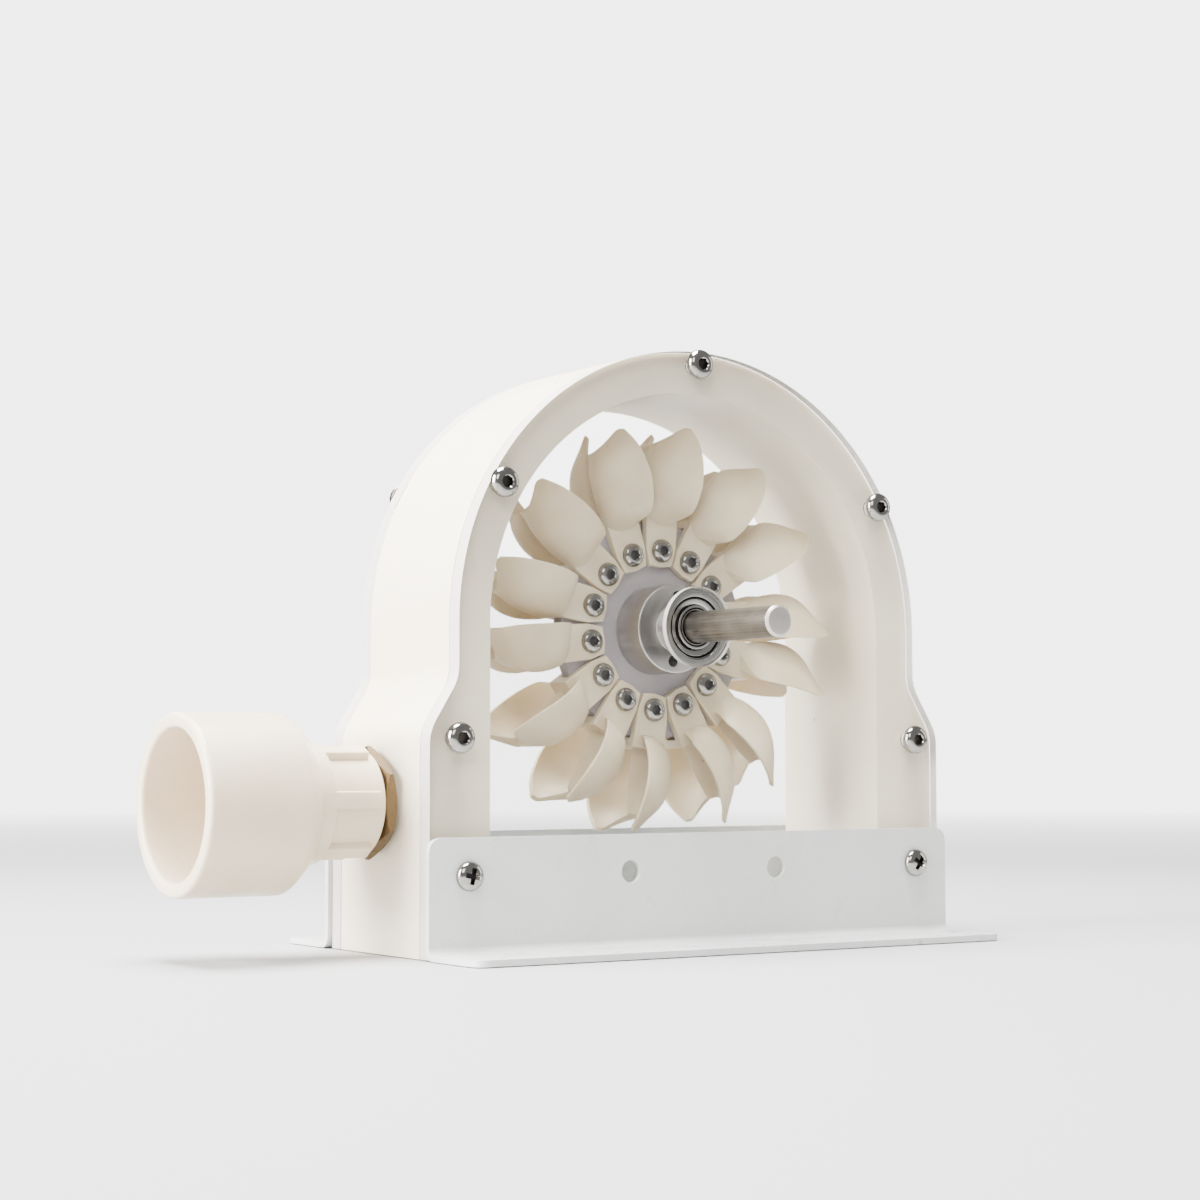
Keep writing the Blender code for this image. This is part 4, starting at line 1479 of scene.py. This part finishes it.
@dataclass
class ShaftAndHubs:
    """The shaft, the two aluminium hubs and the disc between them."""

    radius: float = 5 * MM
    tip: float = -73 * MM
    tail: float = 30 * MM
    chamfer: float = 0.8 * MM
    end_round: float = 0.12 * MM
    hub: float = 14.3 * MM
    hub_face: float = 15.3 * MM
    hub_foot: float = 2.55 * MM
    neck: float = 7.3 * MM
    neck_end: float = 23.2 * MM
    hole: float = 1.8 * MM
    hole_depth: float = 6 * MM
    hole_circle: float = 10.5 * MM
    hole_angles: tuple[float, ...] = (85, -95)
    hole_steps: int = 32
    foot_round: float = 0.2 * MM
    hub_round: float = 0.45 * MM
    neck_round: float = 0.3 * MM
    level_limit: float = 0.6
    disc_radius: float = 35.5 * MM
    disc_half: float = 2.25 * MM
    disc_round: float = 0.3 * MM
    disc_steps: int = 160
    round_steps: int = 4

    def shaft(self) -> bmesh.types.BMesh:
        """The shaft, with a chamfer and a small round at each end.

        Returns:
            The shaft, in its place, with the second finish on its end faces.
        """
        inner = self.radius - self.chamfer
        corners = [
            (self.tip, 0, 0), (self.tip, inner, self.end_round),
            (self.tip + self.chamfer, self.radius, self.end_round),
            (self.tail - self.chamfer, self.radius, self.end_round),
            (self.tail, inner, self.end_round), (self.tail, 0, 0),
        ]
        bar_stock = turned(softened(corners, 3), Axis.Y, FINE_STEPS)
        for face in bar_stock.faces:
            face.material_index = int(abs(face.normal.y) > self.level_limit)
        return moved(bar_stock, AXIS)

    def hub_part(self, side: Side) -> bmesh.types.BMesh:
        """One hub: a drum with two small holes in its face, their insides dark as painted shade, and a neck.

        Args:
            side: The hub's side.

        Returns:
            The hub.
        """
        sign = side.value
        bore = self.radius + GAP
        corners = [
            (sign * self.hub_foot, bore, 0), (sign * self.hub_foot, self.hub, self.foot_round),
            (sign * self.hub_face, self.hub, self.hub_round),
            (sign * self.hub_face, self.neck, self.neck_round),
            (sign * self.neck_end, self.neck, self.neck_round),
            (sign * self.neck_end, bore, self.foot_round),
        ]
        drum = turned(softened(corners, self.round_steps), Axis.Y, FINE_STEPS)
        drills = []
        for degrees in self.hole_angles:
            x, z = arc((0, 0), self.hole_circle, degrees, degrees, 1)[0]
            ends = sorted((sign * (self.hub_face - self.hole_depth), sign * (self.hub_face + PAST)))
            drills.append(moved(rod(self.hole, ends[0], ends[1], Axis.Y, self.hole_steps), (x, 0, z)))
        drum = carved(drum, drills)
        # Painted shade: the holes' walls and floors get the near-black second finish.
        for face in drum.faces:
            centre = face.calc_center_median()
            reach = abs(math.hypot(centre.x, centre.z) - self.hole_circle)
            below_face = self.hub_foot + PAST < abs(centre.y) < self.hub_face - SLACK
            face.material_index = int(below_face and reach < self.hole + SLACK)
        return moved(drum, AXIS)

    def disc(self) -> bmesh.types.BMesh:
        """The flat disc that the tabs straddle.

        Returns:
            The disc, in its place.
        """
        bore = self.radius + GAP
        corners = [
            (-self.disc_half, bore, 0), (-self.disc_half, self.disc_radius, self.disc_round),
            (self.disc_half, self.disc_radius, self.disc_round), (self.disc_half, bore, 0),
        ]
        return moved(turned(softened(corners, self.round_steps), Axis.Y, self.disc_steps), AXIS)

    def build(self, shop: Workshop) -> None:
        """Adds the shaft, the hubs and the disc.

        Args:
            shop: The workshop.
        """
        shop.add("turned_shaft", self.shaft(), [SHAFT_STEEL, SHAFT_FACE], Body.RUNNER, ["shaft"])
        for side in Side:
            shop.add(f"{side.label}_hub_drum", self.hub_part(side), [HUB_ALUMINIUM, GROOVE_SHADE],
                     Body.RUNNER, [f"{side.label}_hub"])
        shop.add("wheel_disc", self.disc(), [DISC_GREY], Body.RUNNER, ["runner_disc"])


def through(stations: Sequence[float], share: float) -> float:
    """Reads a smooth curve through equally spaced stations.

    Args:
        stations: The values, in order.
        share: The place along them, from 0 to 1.

    Returns:
        The value there.
    """
    span = share * (len(stations) - 1)
    index = min(int(span), len(stations) - 2)
    t = span - index
    start, end = stations[index], stations[index + 1]
    before = stations[index - 1] if index > 0 else 2 * start - end
    after = stations[index + 2] if index + 2 < len(stations) else 2 * end - start
    slope_in = (end - before) / 2
    slope_out = (after - start) / 2
    rise = t * t * (3 - 2 * t)
    return start + (end - start) * rise + slope_in * t * (1 - t) ** 2 - slope_out * t * t * (1 - t)


@dataclass
class Buckets:
    """Fourteen twin-cup buckets on forked tabs. Here u runs outwards, and v towards the side that leads."""

    phase: float = 9.27
    screw_circle: float = 26 * MM
    tilts: tuple[float, ...] = (-6.5, -0.5, -2, 1.5, -3, 6, 6, -3.5, 0.5, -1, -5, 5, -4.5, 6.5)
    tab_middle: Corner = (20.6 * MM, 0.0, 6 * MM)
    tab_inner: Corner = (21.15 * MM, 4.3 * MM, 0.5 * MM)
    tab_wide: Corner = (26.7 * MM, 5.8 * MM, 1.5 * MM)
    tab_outer: Corner = (39 * MM, 6.2 * MM, 0.0)
    tab_half: float = 5.1 * MM
    tab_edge: float = 0.35 * MM
    tab_steps: int = 6
    screw_hole: float = 2.3 * MM
    screw_hole_steps: int = 24
    slot_half: float = 2.55 * MM
    slot_end: float = 36.5 * MM
    slot_steps: int = 96
    rim_u: tuple[float, ...] = (34.4, 39.4, 49, 59, 66.6)
    rim_y: tuple[float, ...] = (6, 13.4, 16.9, 14.6, 8.8)
    rim_v: tuple[float, ...] = (-5.4, -6.5, -7, -7.2, -6.3)
    ridge_u: tuple[float, ...] = (34.4, 39, 46.5, 54, 60)
    ridge_v: tuple[float, ...] = (-3, -3, -3, -2.6, -2)
    depth: tuple[float, ...] = (1, 8, 10.8, 9.4, 4)
    back_ridge_v: tuple[float, ...] = (3, 2.5, 2.5, 2.5, 2)
    back_depth: tuple[float, ...] = (5, 8.4, 9.8, 8.4, 4.2)
    wall: float = 1.2
    lip_curve: float = 2.8
    roundness: float = 0.75
    tip_corner: Point = (0.95, 0.88)
    root_corner: Point = (0.20, 0.55)
    steps_long: int = 26
    steps_across: int = 44
    grid_power: float = 1.25
    rim_round: float = 0.32 * MM

    def cup_point(self, s: float, t: float, back: bool) -> Vector:
        """A point of the twin cup.

        Args:
            s: The place from the root to the tip, 0 to 1.
            t: The place across, -1 to 1.
            back: Whether it is on the back and not on the hollow side.

        Returns:
            The point as (u, y, v).
        """
        side = abs(t)
        wall = self.wall if back else 0.0
        rim_y = through(self.rim_y, s) + wall
        rim_u = through(self.rim_u, s) + wall * s
        ridge_u = through(self.ridge_u, s) + wall * s
        rim_v = through(self.rim_v, s)
        ridge_v = through(self.back_ridge_v if back else self.ridge_v, s)
        depth = through(self.back_depth if back else self.depth, s)
        lip = side ** (1 + (self.lip_curve - 1) * s)
        hollow = math.sin(math.pi * side) ** self.roundness if 0 < side < 1 else 0.0
        u = ridge_u + (rim_u - ridge_u) * lip
        v = ridge_v + (rim_v - ridge_v) * side + depth * hollow
        return Vector((u, math.copysign(rim_y * side, t), v)) * MM

    def rounded_corners(self, s: float, t: float) -> Point:
        """Rounds the corners of the cup's grid, as a square goes into a circle.

        Args:
            s: The place from the root to the tip, 0 to 1.
            t: The place across, -1 to 1.

        Returns:
            The place that both move to.
        """
        for (start, across), end in ((self.tip_corner, 1.0), (self.root_corner, 0.0)):
            a = (s - start) / (end - start)
            b = (abs(t) - across) / (1 - across)
            if a > 0 and b > 0:
                s = start + (end - start) * a * math.sqrt(1 - b * b / 2)
                t = math.copysign(across + (1 - across) * b * math.sqrt(1 - a * a / 2), t)
        return s, t

    def cup(self) -> bmesh.types.BMesh:
        """Both hollows: a grid for the hollow side and one for the back, joined and rounded along the rim.

        Returns:
            The twin cup.
        """
        bm = bmesh.new()
        for back in (False, True):
            grid = bmesh.ops.create_grid(bm, x_segments=self.steps_long, y_segments=self.steps_across, size=1)
            for vert in grid["verts"]:
                s, t = self.rounded_corners(((vert.co.x + 1) / 2) ** self.grid_power, vert.co.y)
                vert.co = self.cup_point(s, t, back)
        rim = [edge for edge in bm.edges if edge.is_boundary]
        bmesh.ops.bridge_loops(bm, edges=rim)
        bmesh.ops.recalc_face_normals(bm, faces=bm.faces)
        bevel_edges(bm, rim, self.rim_round, 3)
        return bm

    def tab(self) -> bmesh.types.BMesh:
        """The tab, before it is forked.

        Returns:
            The tab with its screw's hole.
        """
        corners = [self.tab_inner, self.tab_wide, self.tab_outer]
        below = [(u, -v, r) for u, v, r in corners]
        hole = circle((self.screw_circle, 0), self.screw_hole, self.screw_hole_steps)
        outline = softened([*below, *corners[::-1], self.tab_middle], self.tab_steps)
        return standing(plate([outline, hole], 2 * self.tab_half, self.tab_edge))

    def bucket(self) -> bmesh.types.BMesh:
        """One whole bucket, with its screw's place at the origin.

        Returns:
            The bucket.
        """
        slot = rod(self.slot_end, -self.slot_half, self.slot_half, Axis.Y, self.slot_steps)
        whole = carved(carved(self.tab(), [self.cup()], "UNION"), [slot])
        return moved(whole, (-self.screw_circle, 0, 0))

    def place(self, number: int, tilt: float) -> Matrix:
        """Where a bucket's screw is and how the bucket is turned.

        Args:
            number: The bucket's number, from 0.
            tilt: Its tilt about its screw, in degrees.

        Returns:
            The place.
        """
        angle = math.radians(self.phase + 360 * number / len(self.tilts))
        spot = AXIS + Vector((math.cos(angle), 0, math.sin(angle))) * self.screw_circle
        return Matrix.Translation(spot) @ Matrix.Rotation(-angle - math.radians(tilt), 4, "Y")

    def build(self, shop: Workshop, fasteners: Fasteners) -> None:
        """Adds the buckets with their screws and nuts.

        Args:
            shop: The workshop.
            fasteners: Makes the screws and nuts.
        """
        pattern = to_mesh(self.bucket(), "bucket_pattern")
        seat = self.tab_half + SLACK / 2
        for number, tilt in enumerate(self.tilts):
            place = self.place(number, tilt)
            bm = bmesh.new()
            bm.from_mesh(pattern)
            bmesh.ops.transform(bm, matrix=place, verts=bm.verts)
            label = f"{number + 1:02d}"
            shop.add(f"twin_cup_{label}", bm, [BUCKET_IVORY], Body.RUNNER, [f"bucket_{label}"], weighted=True)
            screw = fasteners.copy_of("small_button", lambda: fasteners.button(
                fasteners.small_radius, fasteners.small_height, fasteners.small_shank, fasteners.small_socket,
                2 * self.tab_half + PAST), fasteners.hex_swing)
            spot = place.translation
            moved(screw, spot - Vector((0, seat, 0)))
            shop.add(f"tab_screw_{label}", screw, SCREW_LOOKS, Body.RUNNER)
            nut = fasteners.copy_of("nut", fasteners.nut, fasteners.hex_swing)
            moved(nut, spot + Vector((0, seat, 0)))
            shop.add(f"tab_nut_{label}", nut, [SCREW_STEEL], Body.RUNNER)
        bpy.data.meshes.remove(pattern)


# ---------------------------------------------------------------- the studio


@dataclass(frozen=True)
class Softbox:
    """One soft studio lamp, aimed at the middle of the unit."""

    name: str
    place: tuple[float, float, float]
    size: tuple[float, float]
    power: float
    color: Color = (1, 1, 1)
    aim: tuple[float, float, float] = (0.03, 0.0, 0.09)

    def build(self) -> None:
        """Adds the lamp."""
        lamp = bpy.data.lights.new(self.name, "AREA")
        lamp.shape = "RECTANGLE"
        lamp.size, lamp.size_y = self.size
        lamp.energy = self.power
        lamp.color = self.color
        holder = bpy.data.objects.new(self.name, lamp)
        holder.location = self.place
        holder.rotation_euler = (Vector(self.aim) - Vector(self.place)).to_track_quat("-Z", "Y").to_euler()
        bpy.context.scene.collection.objects.link(holder)


@dataclass
class Studio:
    """The floor, the lamps, the pale surroundings and the camera."""

    floor_radius: float = 2.5
    floor_fade: Point = (0.7, 2.2)
    floor_color: Color = (0.40, 0.40, 0.40)
    floor_patch: float = 0.985
    floor_roughness: float = 0.6
    room_color: Color = (0.97, 0.98, 1.0)
    ambient: float = 0.48
    backdrop: float = 6.0
    yaw: float = -33.251
    pitch: float = 3.632
    roll: float = -0.091
    camera_place: tuple[float, float, float] = (-0.43212, -0.67769, 0.05881)
    lens: float = 75.717
    sensor: float = 36.0
    clip: float = 10 * MM
    lamps: tuple[Softbox, ...] = (
        Softbox("left_softbox", (-1.2, 0.1, 0.5), (0.9, 0.9), 115),
        Softbox("top_softbox", (-0.1, 0.05, 1.25), (0.9, 0.6), 118),
        Softbox("front_softbox", (-0.75, -1.15, 0.85), (0.6, 0.6), 9),
        Softbox("right_softbox", (1.3, -0.45, 0.45), (0.5, 0.7), 4, (1.0, 0.97, 0.93)),
        Softbox("back_softbox", (0.5, 1.15, 0.6), (1.0, 0.8), 4),
    )

    def add_floor(self) -> None:
        """Adds the pale floor."""
        bm = bmesh.new()
        bmesh.ops.create_circle(bm, cap_ends=True, segments=FINE_STEPS, radius=self.floor_radius)
        bmesh.ops.translate(bm, vec=(0, 0, -GAP), verts=bm.verts)
        mesh = to_mesh(bm, "studio_floor")
        wiring = Wiring("studio_floor")
        tone = wiring.ranged(wiring.noise(wiring.place, 3, detail=2), NOISE_SPAN, (0, 1))
        pale = tuple(channel * self.floor_patch for channel in self.floor_color)
        wiring.link(wiring.blended(tone, self.floor_color, pale), wiring.shader.inputs["Base Color"])
        wiring.set(Roughness=self.floor_roughness)
        distance = wiring.tree.nodes.new("ShaderNodeVectorMath")
        distance.operation = "LENGTH"
        wiring.link(wiring.place, distance.inputs[0])
        kept = wiring.ranged(distance.outputs["Value"], self.floor_fade, (1, 0))
        wiring.link(kept, wiring.shader.inputs["Alpha"])
        mesh.materials.append(wiring.material)
        floor = bpy.data.objects.new("studio_floor", mesh)
        bpy.context.scene.collection.objects.link(floor)

    def add_surroundings(self) -> None:
        """Sets a white backdrop for what the camera sees directly, and a dimmer room for all other light."""
        world = bpy.data.worlds.new("studio_surroundings")
        world.use_nodes = True
        bpy.context.scene.world = world
        tree = world.node_tree
        room = tree.nodes["Background"]
        room.inputs["Color"].default_value = (*self.room_color, 1)
        room.inputs["Strength"].default_value = self.ambient
        white = tree.nodes.new("ShaderNodeBackground")
        white.inputs["Strength"].default_value = self.backdrop
        path = tree.nodes.new("ShaderNodeLightPath")
        steps = {}
        for operation, a, b in (("ADD", "Diffuse Depth", "Glossy Depth"),
                                ("MAXIMUM", "Is Camera Ray", "Is Transmission Ray")):
            steps[operation] = tree.nodes.new("ShaderNodeMath")
            steps[operation].operation = operation
            tree.links.new(path.outputs[a], steps[operation].inputs[0])
            tree.links.new(path.outputs[b], steps[operation].inputs[1])
        seen = tree.nodes.new("ShaderNodeMath")
        seen.operation = "GREATER_THAN"
        tree.links.new(steps["MAXIMUM"].outputs[0], seen.inputs[0])
        tree.links.new(steps["ADD"].outputs[0], seen.inputs[1])
        mix = tree.nodes.new("ShaderNodeMixShader")
        tree.links.new(seen.outputs[0], mix.inputs[0])
        tree.links.new(room.outputs[0], mix.inputs[1])
        tree.links.new(white.outputs[0], mix.inputs[2])
        tree.links.new(mix.outputs[0], tree.nodes["World Output"].inputs["Surface"])

    def add_camera(self) -> None:
        """Sets the photograph's camera."""
        yaw, pitch, roll = (math.radians(angle) for angle in (self.yaw, self.pitch, self.roll))
        forward = Vector((-math.sin(yaw) * math.cos(pitch), math.cos(yaw) * math.cos(pitch), math.sin(pitch)))
        right = forward.cross(Vector((0, 0, 1))).normalized()
        up = right.cross(forward)
        across = right * math.cos(roll) + up * math.sin(roll)
        above = up * math.cos(roll) - right * math.sin(roll)
        matrix = Matrix((across, above, -forward)).transposed().to_4x4()
        matrix.translation = Vector(self.camera_place)
        data = bpy.data.cameras.new("photo_camera")
        data.sensor_width = self.sensor
        data.lens = self.lens
        data.clip_start = self.clip
        camera = bpy.data.objects.new("photo_camera", data)
        camera.matrix_world = matrix
        bpy.context.scene.collection.objects.link(camera)
        bpy.context.scene.camera = camera

    def build(self) -> None:
        """Adds the whole studio."""
        self.add_floor()
        self.add_surroundings()
        for lamp in self.lamps:
            lamp.build()
        self.add_camera()


def main() -> None:
    """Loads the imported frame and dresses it."""
    logging.basicConfig(level=logging.INFO, format="%(name)s: %(message)s")
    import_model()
    shop = Workshop()
    casing = Casing()
    bracket = Bracket()
    fasteners = Fasteners()
    casing.build(shop)
    bracket.build(shop)
    HousingScrews(casing, bracket, fasteners).build(shop)
    Inlet().build(shop)
    Bearing().build(shop)
    ShaftAndHubs().build(shop)
    Buckets().build(shop, fasteners)
    Studio().build()
    LOG.info("%d pieces", shop.count)


if __name__ == "__main__":
    main()
